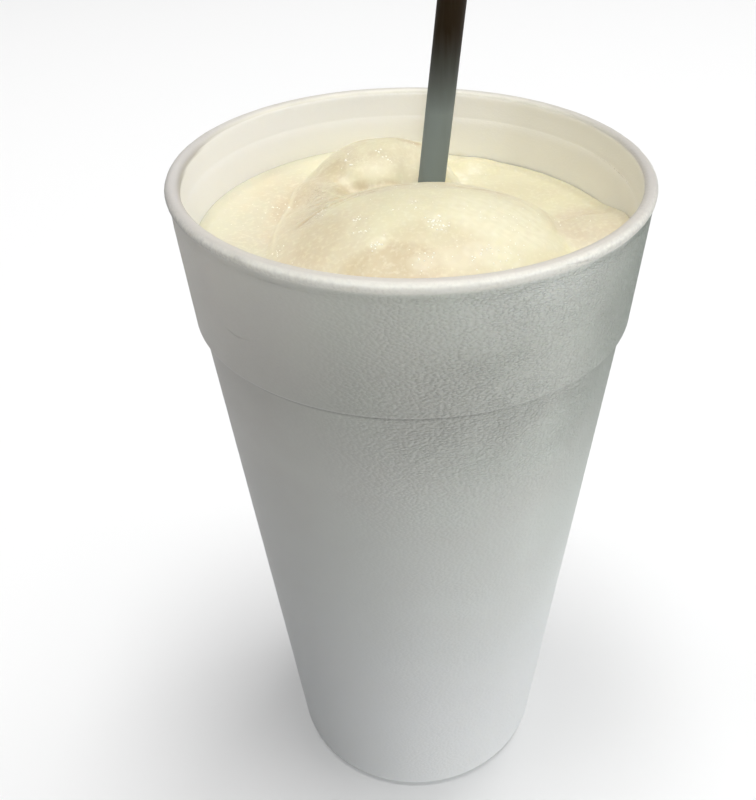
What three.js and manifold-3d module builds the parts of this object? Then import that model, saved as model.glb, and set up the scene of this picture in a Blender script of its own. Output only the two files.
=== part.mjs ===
// A milkshake in its moulded foam cup, with a straw. Millimetres, +Z up.
// The origin is on the cup's axis, at the surface that the cup stands on. The view that shows
// the shake best looks along +Y and down, so "near" is -Y and "far" is +Y.
import * as THREE from "three";
import { mergeVertices } from "three/addons/utils/BufferGeometryUtils.js";
import Module from "manifold-3d";

const wasm = await Module();
wasm.setup();

// Cup, outside
const RIM_RADIUS = 56;
const CUP_HEIGHT = 184.5;
const BEAD_RADIUS = 1.6; // of the rolled bead's round section
const BEAD_FROM_DEGREES = -30; // where its round leaves the wall outside
const BEAD_GROOVE_DEPTH = 0.35; // the crease under the bead
const BAND_HEIGHT = 33.8; // from the stacking ledge up to the rim
const BAND_TOP_RADIUS = 55.6;
const BAND_FOOT_RADIUS = 53.05;
const LEDGE_ROUND = 0.5; // the ledge's rounded corner
const LEDGE_WIDTH = 1.3; // how far the band stands out over the body
const BODY_FOOT_RADIUS = 36.25; // where the body's slope would meet the ground
const BASE_ROUND = 3.4;

// Cup, inside and underneath
const WALL = 3.1;
const LIP_STEP_DEPTH = 7.4; // the faint ring inside, below the rim
const LIP_STEP_WIDTH = 0.45;
const FLOOR_THICKNESS = 4;
const FLOOR_ROUND = 4;
const FOOT_RING_WIDTH = 4.5;
const FOOT_RECESS = 2.5; // the underside stands on a ring, and is hollow by this much

// Straw
const STRAW_RADIUS = 3.45;
const STRAW_WALL = 0.5;
const STRAW_LENGTH = 260;
const STRAW_LEAN = { right: 0.102, near: 0.02 }; // millimetres sideways for each one up
const STRAW_PASSES = { x: 4.85, y: 20.6, z: 171.3 }; // where it comes out of the shake
const STRAW_FOOT_LEVEL = 13;
const PAST_THE_END = 1; // how far the bore's cutter runs past both ends

// Shake
const CLEARANCE = 0.3; // kept between two touching pieces
const POOL_MIDDLE_LEVEL = 163;
// The shake's level where it meets the wall. An azimuth of 0 is +X, and 90 is the far side.
const WALL_LEVELS = [
  { azimuth: -180, level: 167.5 },
  { azimuth: -90, level: 166 },
  { azimuth: -35, level: 166.5 },
  { azimuth: 4, level: 168.5 },
  { azimuth: 30, level: 163.4 },
  { azimuth: 58, level: 161 },
  { azimuth: 95, level: 167 },
  { azimuth: 116, level: 168 },
  { azimuth: 150, level: 167.8 },
];
// Each mound is an oval cap: its middle, its top, how far it rises over its own foot, its half
// widths, its turn in degrees, how full its sides are, and how softly it meets the rest.
const MOUNDS = [
  {
    name: "front dome", at: [3.5, -7.5], half: [39, 33], turn: 3,
    top: 179, rise: 17, fullness: 0.66, soft: 2.2,
  },
  {
    name: "back mound", at: [-8, 31], half: [21, 16.5], turn: 8,
    top: 178, rise: 14, fullness: 0.68, soft: 2.4,
  },
  {
    name: "lobe by the straw", at: [1.5, 35], half: [8, 14], turn: -5,
    top: 175, rise: 10, fullness: 0.65, soft: 1.4,
  },
  {
    name: "left fold", at: [-25, 3], half: [10.5, 25], turn: -8,
    top: 170.4, rise: 8, fullness: 0.8, soft: 2.8,
  },
  {
    name: "right swell", at: [46, -4], half: [17, 14], turn: 8,
    top: 171.2, rise: 8, fullness: 0.7, soft: 2,
  },
  {
    name: "smear on the far wall", at: [17, 43.5], half: [9, 7], turn: -15,
    top: 168, rise: 9, fullness: 0.75, soft: 1.6,
  },
];

// Fineness
const CUP_SIDES = 72;
const SHAKE_SIDES = 72;
const SHAKE_RINGS = 18; // from the wall to the middle of the shake's surface
const STRAW_SIDES = 20;
const ROUND_STEPS = 3; // in a quarter of a small round
const BEAD_STEPS = 7; // one of them ends at the bead's crown

const LEDGE_LEVEL = CUP_HEIGHT - BAND_HEIGHT;
const BEAD_CENTRE = { r: RIM_RADIUS - BEAD_RADIUS, z: CUP_HEIGHT - BEAD_RADIUS };
const BODY_TOP_RADIUS = BAND_FOOT_RADIUS - LEDGE_WIDTH;
const FLOOR_LEVEL = FOOT_RECESS + FLOOR_THICKNESS;
const LIP_LEVEL = CUP_HEIGHT - LIP_STEP_DEPTH;
const INNER_LEDGE_TOP = LEDGE_LEVEL + 2 * LEDGE_WIDTH; // the inside widens in a short slope
const BODY_SLOPE = Math.atan((BODY_TOP_RADIUS - BODY_FOOT_RADIUS) / LEDGE_LEVEL);
const BODY_SLOPE_DEGREES = THREE.MathUtils.radToDeg(BODY_SLOPE);

const between = (a, b, share) => a + (b - a) * share;
const bandRadius = (z) =>
  between(BAND_FOOT_RADIUS, BAND_TOP_RADIUS, (z - LEDGE_LEVEL) / (BEAD_CENTRE.z - LEDGE_LEVEL));
const bodyRadius = (z) => between(BODY_FOOT_RADIUS, BODY_TOP_RADIUS, z / LEDGE_LEVEL);
// The inside follows the outside: the same slopes, a wall's thickness further in.
const innerRadius = (z) => (z > LEDGE_LEVEL ? bandRadius(z) : bodyRadius(z)) - WALL;

// Points of a round in the profile's plane, from one angle to another, in degrees.
function arc(centre, radius, from, to, steps) {
  const points = [];
  for (let i = 0; i <= steps; i++) {
    const angle = THREE.MathUtils.degToRad(between(from, to, i / steps));
    points.push([centre.r + radius * Math.cos(angle), centre.z + radius * Math.sin(angle)]);
  }
  return points;
}

// A profile of [radius, height] pairs, turned about +Z.
function turned(profile, sides) {
  const points = profile.map(([r, z]) => new THREE.Vector2(Math.max(r, 0), z));
  return new THREE.LatheGeometry(points, sides).rotateX(Math.PI / 2);
}

function solidOf(geometry) {
  const bare = new THREE.BufferGeometry().setAttribute("position", geometry.getAttribute("position"));
  bare.setIndex(geometry.index);
  const merged = mergeVertices(bare, 1e-4);
  const mesh = new wasm.Mesh({
    numProp: 3,
    vertProperties: merged.attributes.position.array,
    triVerts: new Uint32Array(merged.index.array),
  });
  return new wasm.Manifold(mesh);
}

function geometryOf(solid) {
  const mesh = solid.getMesh();
  const geometry = new THREE.BufferGeometry();
  geometry.setAttribute("position", new THREE.BufferAttribute(mesh.vertProperties, 3));
  geometry.setIndex(new THREE.BufferAttribute(mesh.triVerts, 1));
  geometry.computeVertexNormals();
  return geometry;
}

// The inside of the cup from the middle of its floor up to the lip's step, or with a clearance
// the outside of what fills it.
function insideOutline(clearance) {
  const floor = FLOOR_LEVEL + clearance;
  const roundCentre = {
    r: innerRadius(floor + FLOOR_ROUND) - clearance - FLOOR_ROUND / Math.cos(BODY_SLOPE),
    z: floor + FLOOR_ROUND,
  };
  return [
    [0, floor],
    ...arc(roundCentre, FLOOR_ROUND, -90, -BODY_SLOPE_DEGREES, ROUND_STEPS),
    [innerRadius(LEDGE_LEVEL) - clearance, LEDGE_LEVEL],
    [innerRadius(INNER_LEDGE_TOP) - clearance, INNER_LEDGE_TOP],
  ];
}

// One moulded piece: foot ring, sloping body, ledge, thicker band, rolled bead and the inside.
function cupGeometry() {
  const footCentre = {
    r: bodyRadius(BASE_ROUND) - BASE_ROUND / Math.cos(BODY_SLOPE),
    z: BASE_ROUND,
  };
  const footInnerRadius = footCentre.r - FOOT_RING_WIDTH;
  const ledgeCentre = { r: BAND_FOOT_RADIUS - LEDGE_ROUND, z: LEDGE_LEVEL + LEDGE_ROUND };
  const grooveLevel = BEAD_CENTRE.z - BEAD_RADIUS;
  const grooveFoot = grooveLevel - BEAD_RADIUS;
  const profile = [
    [0, FOOT_RECESS],
    [footInnerRadius - FOOT_RECESS, FOOT_RECESS],
    [footInnerRadius, 0],
    ...arc(footCentre, BASE_ROUND, -90, -BODY_SLOPE_DEGREES, ROUND_STEPS),
    [BODY_TOP_RADIUS, LEDGE_LEVEL],
    ...arc(ledgeCentre, LEDGE_ROUND, -90, 0, ROUND_STEPS - 1),
    [bandRadius(grooveFoot), grooveFoot],
    [bandRadius(grooveLevel) - BEAD_GROOVE_DEPTH, grooveLevel],
    ...arc(BEAD_CENTRE, BEAD_RADIUS, BEAD_FROM_DEGREES, 180, BEAD_STEPS),
    [innerRadius(LIP_LEVEL) + LIP_STEP_WIDTH, LIP_LEVEL + LIP_STEP_WIDTH],
    [innerRadius(LIP_LEVEL), LIP_LEVEL],
    ...insideOutline(0).reverse(),
  ];
  return turned(profile, CUP_SIDES);
}

// The level at the wall, eased from each stated azimuth to the next.
function wallLevel(azimuth) {
  const next = WALL_LEVELS.findIndex((station) => station.azimuth > azimuth);
  const b = next < 0 ? { ...WALL_LEVELS[0], azimuth: 180 } : WALL_LEVELS[next];
  const a = next < 0 ? WALL_LEVELS.at(-1) : WALL_LEVELS[Math.max(next - 1, 0)];
  const share = b.azimuth > a.azimuth ? (azimuth - a.azimuth) / (b.azimuth - a.azimuth) : 0;
  return between(a.level, b.level, THREE.MathUtils.smoothstep(share, 0, 1));
}

function softMaximum(a, b, soft) {
  const share = THREE.MathUtils.clamp(0.5 + (0.5 * (a - b)) / soft, 0, 1);
  return between(b, a, share) + soft * share * (1 - share);
}

function moundLevel(mound, x, y) {
  const turn = THREE.MathUtils.degToRad(mound.turn);
  const dx = x - mound.at[0];
  const dy = y - mound.at[1];
  const u = (dx * Math.cos(turn) + dy * Math.sin(turn)) / mound.half[0];
  const v = (dy * Math.cos(turn) - dx * Math.sin(turn)) / mound.half[1];
  const inside = Math.max(1 - u * u - v * v, 0);
  return mound.top - mound.rise * (1 - inside ** mound.fullness);
}

// The shake's surface over a point, at a share of the way from the middle to the wall.
function shakeLevel(x, y, share) {
  const azimuth = THREE.MathUtils.radToDeg(Math.atan2(y, x));
  const pool = between(POOL_MIDDLE_LEVEL, wallLevel(azimuth), share);
  return MOUNDS.reduce((level, mound) => softMaximum(moundLevel(mound, x, y), level, mound.soft), pool);
}

// A round rod about +Z, for the straw, its bore and the hole that it makes in the shake.
function rod(radius, from, to) {
  const cylinder = new THREE.CylinderGeometry(radius, radius, to - from, STRAW_SIDES);
  return solidOf(cylinder.rotateX(Math.PI / 2).translate(0, 0, (from + to) / 2));
}

// Its foot stands at STRAW_FOOT_LEVEL, and its axis passes the stated point.
function strawPlacement() {
  const axis = new THREE.Vector3(STRAW_LEAN.right, -STRAW_LEAN.near, 1).normalize();
  const climb = (STRAW_PASSES.z - STRAW_FOOT_LEVEL) / axis.z;
  const passes = new THREE.Vector3(STRAW_PASSES.x, STRAW_PASSES.y, STRAW_PASSES.z);
  const foot = passes.addScaledVector(axis, -climb);
  const turn = new THREE.Quaternion().setFromUnitVectors(new THREE.Vector3(0, 0, 1), axis);
  return new THREE.Matrix4().compose(foot, turn, new THREE.Vector3(1, 1, 1));
}

function strawGeometry() {
  const bore = rod(STRAW_RADIUS - STRAW_WALL, -PAST_THE_END, STRAW_LENGTH + PAST_THE_END);
  return geometryOf(rod(STRAW_RADIUS, 0, STRAW_LENGTH).subtract(bore));
}

// The shake fills the cup up to its uneven surface, and is cut round the straw.
function shakeGeometry(placement) {
  const profile = insideOutline(CLEARANCE);
  const firstSurfacePoint = profile.length;
  for (let ring = 0; ring <= SHAKE_RINGS; ring++) {
    profile.push([1 - ring / SHAKE_RINGS, 0]); // a share of the way to the wall, placed below
  }
  const geometry = turned(profile, SHAKE_SIDES);
  const position = geometry.getAttribute("position");
  for (let i = 0; i < position.count; i++) {
    if (i % profile.length < firstSurfacePoint) continue;
    const share = Math.hypot(position.getX(i), position.getY(i));
    const azimuth = Math.atan2(position.getY(i), position.getX(i));
    const edge = innerRadius(wallLevel(THREE.MathUtils.radToDeg(azimuth))) - CLEARANCE;
    const x = position.getX(i) * edge;
    const y = position.getY(i) * edge;
    position.setXYZ(i, x, y, shakeLevel(x, y, share));
  }
  const hole = rod(STRAW_RADIUS + CLEARANCE, -CLEARANCE, STRAW_LENGTH);
  return geometryOf(solidOf(geometry).subtract(hole.transform(placement.elements)));
}

function piece(name, geometry, colour, roughness) {
  const material = new THREE.MeshStandardMaterial({ color: colour, roughness, metalness: 0 });
  const mesh = new THREE.Mesh(geometry, material);
  mesh.name = name;
  return mesh;
}

const placement = strawPlacement();
const drink = new THREE.Group();
drink.add(piece("cup", cupGeometry(), 0xe6e6e4, 0.6));
drink.add(piece("milkshake", shakeGeometry(placement), 0xf0e8c8, 0.25));
const straw = piece("straw", strawGeometry(), 0x4a4f4c, 0.4);
straw.applyMatrix4(placement);
drink.add(straw);

export default drink;
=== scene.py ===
"""A milkshake in its moulded foam cup, with a straw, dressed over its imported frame. Metres, +Z up.

The origin is on the cup's axis, at the surface that the cup stands on. The photographed side
looks along +Y, so "near" is -Y and "far" is +Y. Azimuths are in degrees from +X.
"""
import logging
import math
from collections.abc import Callable
from dataclasses import dataclass
from enum import Enum
from typing import NamedTuple

import bpy
import numpy as np
from mathutils import Matrix, Vector


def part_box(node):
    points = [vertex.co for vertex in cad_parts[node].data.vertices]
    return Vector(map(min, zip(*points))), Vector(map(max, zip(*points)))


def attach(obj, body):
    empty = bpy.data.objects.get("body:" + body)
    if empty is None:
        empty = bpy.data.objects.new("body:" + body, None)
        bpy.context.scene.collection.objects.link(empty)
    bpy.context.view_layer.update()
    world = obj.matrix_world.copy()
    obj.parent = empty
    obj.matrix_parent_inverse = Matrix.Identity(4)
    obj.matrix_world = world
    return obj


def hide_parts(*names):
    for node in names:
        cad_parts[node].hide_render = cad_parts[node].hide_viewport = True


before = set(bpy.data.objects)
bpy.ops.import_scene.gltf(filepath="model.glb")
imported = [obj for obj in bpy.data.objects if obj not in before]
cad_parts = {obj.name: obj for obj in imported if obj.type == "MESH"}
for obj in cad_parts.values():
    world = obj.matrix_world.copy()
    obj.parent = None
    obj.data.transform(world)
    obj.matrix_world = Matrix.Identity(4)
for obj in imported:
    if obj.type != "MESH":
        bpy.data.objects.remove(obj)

MM = 0.001
ROOT_BODY = "root"
log = logging.getLogger("milkshake")

Number = float | np.ndarray
Point = tuple[float, float]
Place = tuple[float, float, float]
Size = tuple[float, float, float]
Colour = tuple[float, float, float, float]


class Ramp(NamedTuple):
    """A range of values, and what its low and high ends become."""

    low: float
    high: float
    to_low: float = 0
    to_high: float = 1

    def share(self, values: np.ndarray) -> np.ndarray:
        """How far each value is on its way from the low end to the high one, with soft ends."""
        return eased((values - self.low) / (self.high - self.low))


class Span(NamedTuple):
    """The values round a middle, and how far they reach from it."""

    middle: float
    reach: float


def between(a: float, b: float, share: Number) -> Number:
    """A value that share of the way from a to b."""
    return a + (b - a) * share


def eased(share: np.ndarray) -> np.ndarray:
    """A share from 0 to 1, held inside those and with soft ends."""
    held = np.clip(share, 0, 1)
    return held * held * (3 - 2 * held)


def hump(distance: np.ndarray, width: float) -> np.ndarray:
    """A soft round hump: 1 in the middle, and near 0 at two widths away."""
    return np.exp(-((distance / width) ** 2))


def soft_maximum(a: np.ndarray, b: np.ndarray, soft: float) -> np.ndarray:
    """The larger of two levels, with a rounded corner where they meet.

    Args:
        a: One level.
        b: The other level.
        soft: How far apart the levels are where the rounding begins.

    Returns:
        The joined level.
    """
    share = np.clip(0.5 + 0.5 * (a - b) / soft, 0, 1)
    return b + (a - b) * share + soft * share * (1 - share)


def ripples(x: np.ndarray, y: np.ndarray, length: float, seed: int, waves: int = 16) -> np.ndarray:
    """Uneven rolling ripples, of about -1 to 1, from plane waves in many directions.

    Args:
        x: Places along the first direction.
        y: Places along the second direction.
        length: The usual length from crest to crest.
        seed: Which pattern it is.
        waves: How many plane waves are added up.

    Returns:
        The height of the ripples at each place.
    """
    draw = np.random.default_rng(seed)
    total = np.zeros_like(x)
    for _ in range(waves):
        angle = draw.uniform(0, 2 * math.pi)
        start = draw.uniform(0, 2 * math.pi)
        pitch = 2 * math.pi / (length * draw.uniform(0.7, 1.5))
        total += np.sin(pitch * (x * math.cos(angle) + y * math.sin(angle)) + start)
    return total * math.sqrt(2 / waves) / 2


class Ripple(NamedTuple):
    """A layer of ripples: how high and how long they are, its seed, and how many waves it adds up."""

    height: float
    length: float
    seed: int
    waves: int = 16

    def over(self, x: np.ndarray, y: np.ndarray) -> np.ndarray:
        """The layer's height over each place."""
        return self.height * ripples(x, y, self.length, self.seed, self.waves)


def direction(azimuth: float, elevation: float) -> Vector:
    """The direction at an azimuth and an elevation, both in degrees."""
    turn = math.radians(azimuth)
    rise = math.radians(elevation)
    return Vector((math.cos(turn) * math.cos(rise), math.sin(turn) * math.cos(rise), math.sin(rise)))


def edit_all() -> None:
    """Goes into edit mode with everything selected."""
    bpy.ops.object.mode_set(mode="EDIT")
    bpy.ops.mesh.select_all(action="SELECT")


def apply_modifier(piece: bpy.types.Object, kind: str, **settings: object) -> None:
    """Adds a modifier to the active object and applies it.

    Args:
        piece: The active object.
        kind: The modifier's type.
        **settings: Its settings.
    """
    modifier = piece.modifiers.new(kind.lower(), kind)
    for name, value in settings.items():
        setattr(modifier, name, value)
    bpy.ops.object.modifier_apply(modifier=modifier.name)


def leave_edit_mode() -> None:
    """Goes back to object mode with nothing selected."""
    if bpy.context.object and bpy.context.object.mode != "OBJECT":
        bpy.ops.object.mode_set(mode="OBJECT")
    bpy.ops.object.select_all(action="DESELECT")


def places_of(piece: bpy.types.Object) -> np.ndarray:
    """Reads where a piece's vertices are.

    Args:
        piece: The piece.

    Returns:
        The places, one row each.
    """
    places = np.zeros(len(piece.data.vertices) * 3)
    piece.data.vertices.foreach_get("co", places)
    return places.reshape(-1, 3)


def move_to(piece: bpy.types.Object, places: np.ndarray) -> None:
    """Moves a piece's vertices to new places, one row each."""
    piece.data.vertices.foreach_set("co", places.reshape(-1))
    piece.data.update()


def keep_numbers(piece: bpy.types.Object, name: str, values: np.ndarray) -> None:
    """Keeps a number for each vertex in the piece's mesh, for its finish to read."""
    attribute = piece.data.attributes.new(name, "FLOAT", "POINT")
    attribute.data.foreach_set("value", values.astype(np.float32))


def close_and_smooth(piece: bpy.types.Object, weld: float, sharp_degrees: float) -> None:
    """Welds a piece's doubles, turns its faces outwards, and shades it smooth up to an angle.

    Args:
        piece: The piece, which is the active object.
        weld: Vertices closer than this become one.
        sharp_degrees: Edges that bend more than this stay sharp.
    """
    if piece.mode != "OBJECT":
        bpy.ops.object.mode_set(mode="OBJECT")
    edit_all()
    bpy.ops.mesh.remove_doubles(threshold=weld)
    bpy.ops.mesh.normals_make_consistent(inside=False)
    bpy.ops.object.mode_set(mode="OBJECT")
    bpy.ops.object.shade_smooth_by_angle(angle=math.radians(sharp_degrees))


def finish_piece(
    piece: bpy.types.Object, dressing: bpy.types.Material, node: str = "",
) -> None:
    """Dresses a piece, lets it ride with the drink, and reports it.

    Args:
        piece: The finished piece, in its place.
        dressing: Its material.
        node: The plain solid that it stands for, if any.
    """
    piece.data.materials.clear()
    piece.data.materials.append(dressing)
    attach(piece, ROOT_BODY)
    if node:
        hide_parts(node)
    piece.data.calc_loop_triangles()
    size = ", ".join(f"{1000 * length:.1f}" for length in piece.dimensions)
    log.info("%s: %d triangles, %s mm", piece.name, len(piece.data.loop_triangles), size)


class Axis(Enum):
    """A direction of the object's own frame."""

    RIGHT = "X"
    FAR = "Y"
    UP = "Z"


class Nodes:
    """A material's or world's node tree while it is put together."""

    def __init__(self, owner: bpy.types.ID) -> None:
        """Clears the owner's tree, ready for new nodes."""
        owner.use_nodes = True
        self.tree = owner.node_tree
        self.tree.nodes.clear()

    def add(self, kind: str, inputs: dict | None = None, **settings: object) -> bpy.types.Node:
        """Adds a node.

        Args:
            kind: The node's type, without its ShaderNode prefix.
            inputs: A value, or another node's output, for each input by name or number.
            **settings: The node's own settings.

        Returns:
            The new node.
        """
        node = self.tree.nodes.new("ShaderNode" + kind)
        for name, value in settings.items():
            setattr(node, name, value)
        for name, value in (inputs or {}).items():
            if isinstance(value, bpy.types.NodeSocket):
                self.tree.links.new(value, node.inputs[name])
            else:
                node.inputs[name].default_value = value
        return node

    def pattern_place(self, size: Size, turn: float = 0) -> bpy.types.NodeSocket:
        """Object coordinates for a pattern, counted in its own size.

        Args:
            size: The size of one cell of the pattern in each direction.
            turn: How far the pattern is turned round the upright axis, in degrees.

        Returns:
            The coordinates.
        """
        source = self.add("TexCoord").outputs["Object"]
        inputs = {"Vector": source, "Scale": size, "Rotation": (0, 0, math.radians(turn))}
        return self.add("Mapping", inputs, vector_type="TEXTURE").outputs["Vector"]

    def noise(self, size: Size, detail: float = 2, turn: float = 0) -> bpy.types.NodeSocket:
        """Soft noise of about 0 to 1, with cells of the given size.

        Args:
            size: The size of the coarsest cells in each direction.
            detail: How many finer layers it has.
            turn: How far it is turned round the upright axis, in degrees.

        Returns:
            The noise.
        """
        where = self.pattern_place(size, turn)
        return self.add("TexNoise", {"Vector": where, "Scale": 1.0, "Detail": detail}).outputs["Fac"]

    def along(self, axis: Axis) -> bpy.types.NodeSocket:
        """How far each shaded place lies along one axis."""
        source = self.add("TexCoord").outputs["Object"]
        return self.add("SeparateXYZ", {0: source}).outputs[axis.value]

    def kept(self, name: str) -> bpy.types.NodeSocket:
        """A number that the piece keeps for each of its vertices."""
        return self.add("Attribute", attribute_name=name).outputs["Fac"]

    def product(self, *factors: object) -> bpy.types.NodeSocket:
        """Multiplies several values or outputs together.

        Args:
            *factors: The values or outputs.

        Returns:
            Their product.
        """
        result = factors[0]
        for factor in factors[1:]:
            result = self.math("MULTIPLY", result, factor)
        return result

    def near(self, value: bpy.types.NodeSocket, span: Span) -> bpy.types.NodeSocket:
        """1 where a value is at the span's middle, falling to 0 where it is the reach away."""
        away = self.math("ABSOLUTE", self.math("SUBTRACT", value, span.middle), 0.0)
        return self.spread(away, Ramp(0, span.reach, 1, 0))

    def azimuth(self) -> bpy.types.NodeSocket:
        """The azimuth round the upright axis, in degrees."""
        turn = self.math("ARCTAN2", self.along(Axis.FAR), self.along(Axis.RIGHT))
        return self.math("DEGREES", turn, 0.0)

    def bump(
        self, height: bpy.types.NodeSocket, relief: float, under: bpy.types.NodeSocket | None = None,
    ) -> bpy.types.NodeSocket:
        """Relief of a given depth, on top of any relief under it.

        Args:
            height: The height, of about 0 to 1.
            relief: How deep it is from 0 to 1, in metres.
            under: The relief under it, if any.

        Returns:
            The bent normal.
        """
        inputs = {"Height": height, "Distance": relief}
        if under is not None:
            inputs["Normal"] = under
        return self.add("Bump", inputs).outputs["Normal"]

    def math(self, operation: str, a: object, b: object) -> bpy.types.NodeSocket:
        """One arithmetic step on two values or outputs."""
        return self.add("Math", {0: a, 1: b}, operation=operation).outputs[0]

    def spread(self, value: bpy.types.NodeSocket, ramp: Ramp) -> bpy.types.NodeSocket:
        """Stretches the ramp's range of values to what its ends become, and holds it inside that."""
        inputs = dict(zip(("From Min", "From Max", "To Min", "To Max"), ramp))
        return self.add("MapRange", {"Value": value, **inputs}).outputs["Result"]

    def blend(self, share: object, a: object, b: object) -> bpy.types.NodeSocket:
        """Blends two colours.

        Args:
            share: How far to go from the first colour to the second.
            a: The first colour.
            b: The second colour.

        Returns:
            The blended colour.
        """
        node = self.add("Mix", data_type="RGBA")
        for socket, value in zip((node.inputs[0], node.inputs[6], node.inputs[7]), (share, a, b)):
            if isinstance(value, bpy.types.NodeSocket):
                self.tree.links.new(value, socket)
            else:
                socket.default_value = value
        return node.outputs[2]

    def surface(self, kind: str, inputs: dict) -> None:
        """Adds a shader with these inputs, as what the material or world shows."""
        output = "OutputWorld" if kind == "Background" else "OutputMaterial"
        self.add(output, {"Surface": self.add(kind, inputs).outputs[0]})


@dataclass(frozen=True)
class Wrinkle:
    """A fine bowed line in the foam's skin, at an azimuth and a level, rising with each degree."""

    azimuth: float
    level: float
    reach: float
    slope: float
    bow: float
    width: float
    height: float

    def share(self, nodes: Nodes) -> bpy.types.NodeSocket:
        """Works out the wrinkle's line.

        Args:
            nodes: The foam's node tree.

        Returns:
            How much of the line each place has, times its height.
        """
        turn = nodes.math("SUBTRACT", nodes.azimuth(), self.azimuth)
        climb = nodes.math("ADD", nodes.product(turn, self.slope), nodes.product(turn, turn, self.bow))
        across = nodes.math("SUBTRACT", nodes.along(Axis.UP), climb)
        line = nodes.near(across, Span(self.level, self.width))
        return nodes.product(line, nodes.near(turn, Span(0.0, self.reach)), self.height)


@dataclass(frozen=True)
class Pebbles:
    """The fused foam beads that show as fine pebbles, which fade where the skin is smooth."""

    width: float = 0.95 * MM
    height: float = 0.5 * MM
    relief: float = 0.46 * MM
    seam_colour: Colour = (0.5, 0.51, 0.47, 1)
    seam_share: float = 0.25
    seam: Ramp = Ramp(0.2, 0.75)
    patch_size: float = 16 * MM
    patch_strength: Ramp = Ramp(0.35, 0.65, 0.7, 1.0)
    side_strength: Ramp = Ramp(-22 * MM, 18 * MM, 0.12, 1.0)
    climb_strength: Ramp = Ramp(110 * MM, 152 * MM, 0.2, 1.0)
    smooth_inside: float = 0.97
    smooth_bead: float = 0.9

    def seams(self, nodes: Nodes) -> bpy.types.NodeSocket:
        """Works out the seams between the pebbles.

        Args:
            nodes: The foam's node tree.

        Returns:
            How deep in a seam each place is, from 0 to 1.
        """
        where = nodes.pattern_place((self.width, self.width, self.height))
        cells = nodes.add("TexVoronoi", {"Vector": where, "Scale": 1.0})
        seams = nodes.spread(cells.outputs["Distance"], self.seam)
        strength = nodes.spread(nodes.noise((self.patch_size,) * 3), self.patch_strength)
        side = nodes.spread(nodes.along(Axis.RIGHT), self.side_strength)
        climb = nodes.spread(nodes.along(Axis.UP), self.climb_strength)
        inside = nodes.product(nodes.kept("inside"), self.smooth_inside)
        bead = nodes.product(nodes.kept("bead"), self.smooth_bead)
        rough = nodes.math("SUBTRACT", 1.0, nodes.math("MAXIMUM", inside, bead))
        return nodes.product(seams, strength, side, climb, rough)


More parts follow.
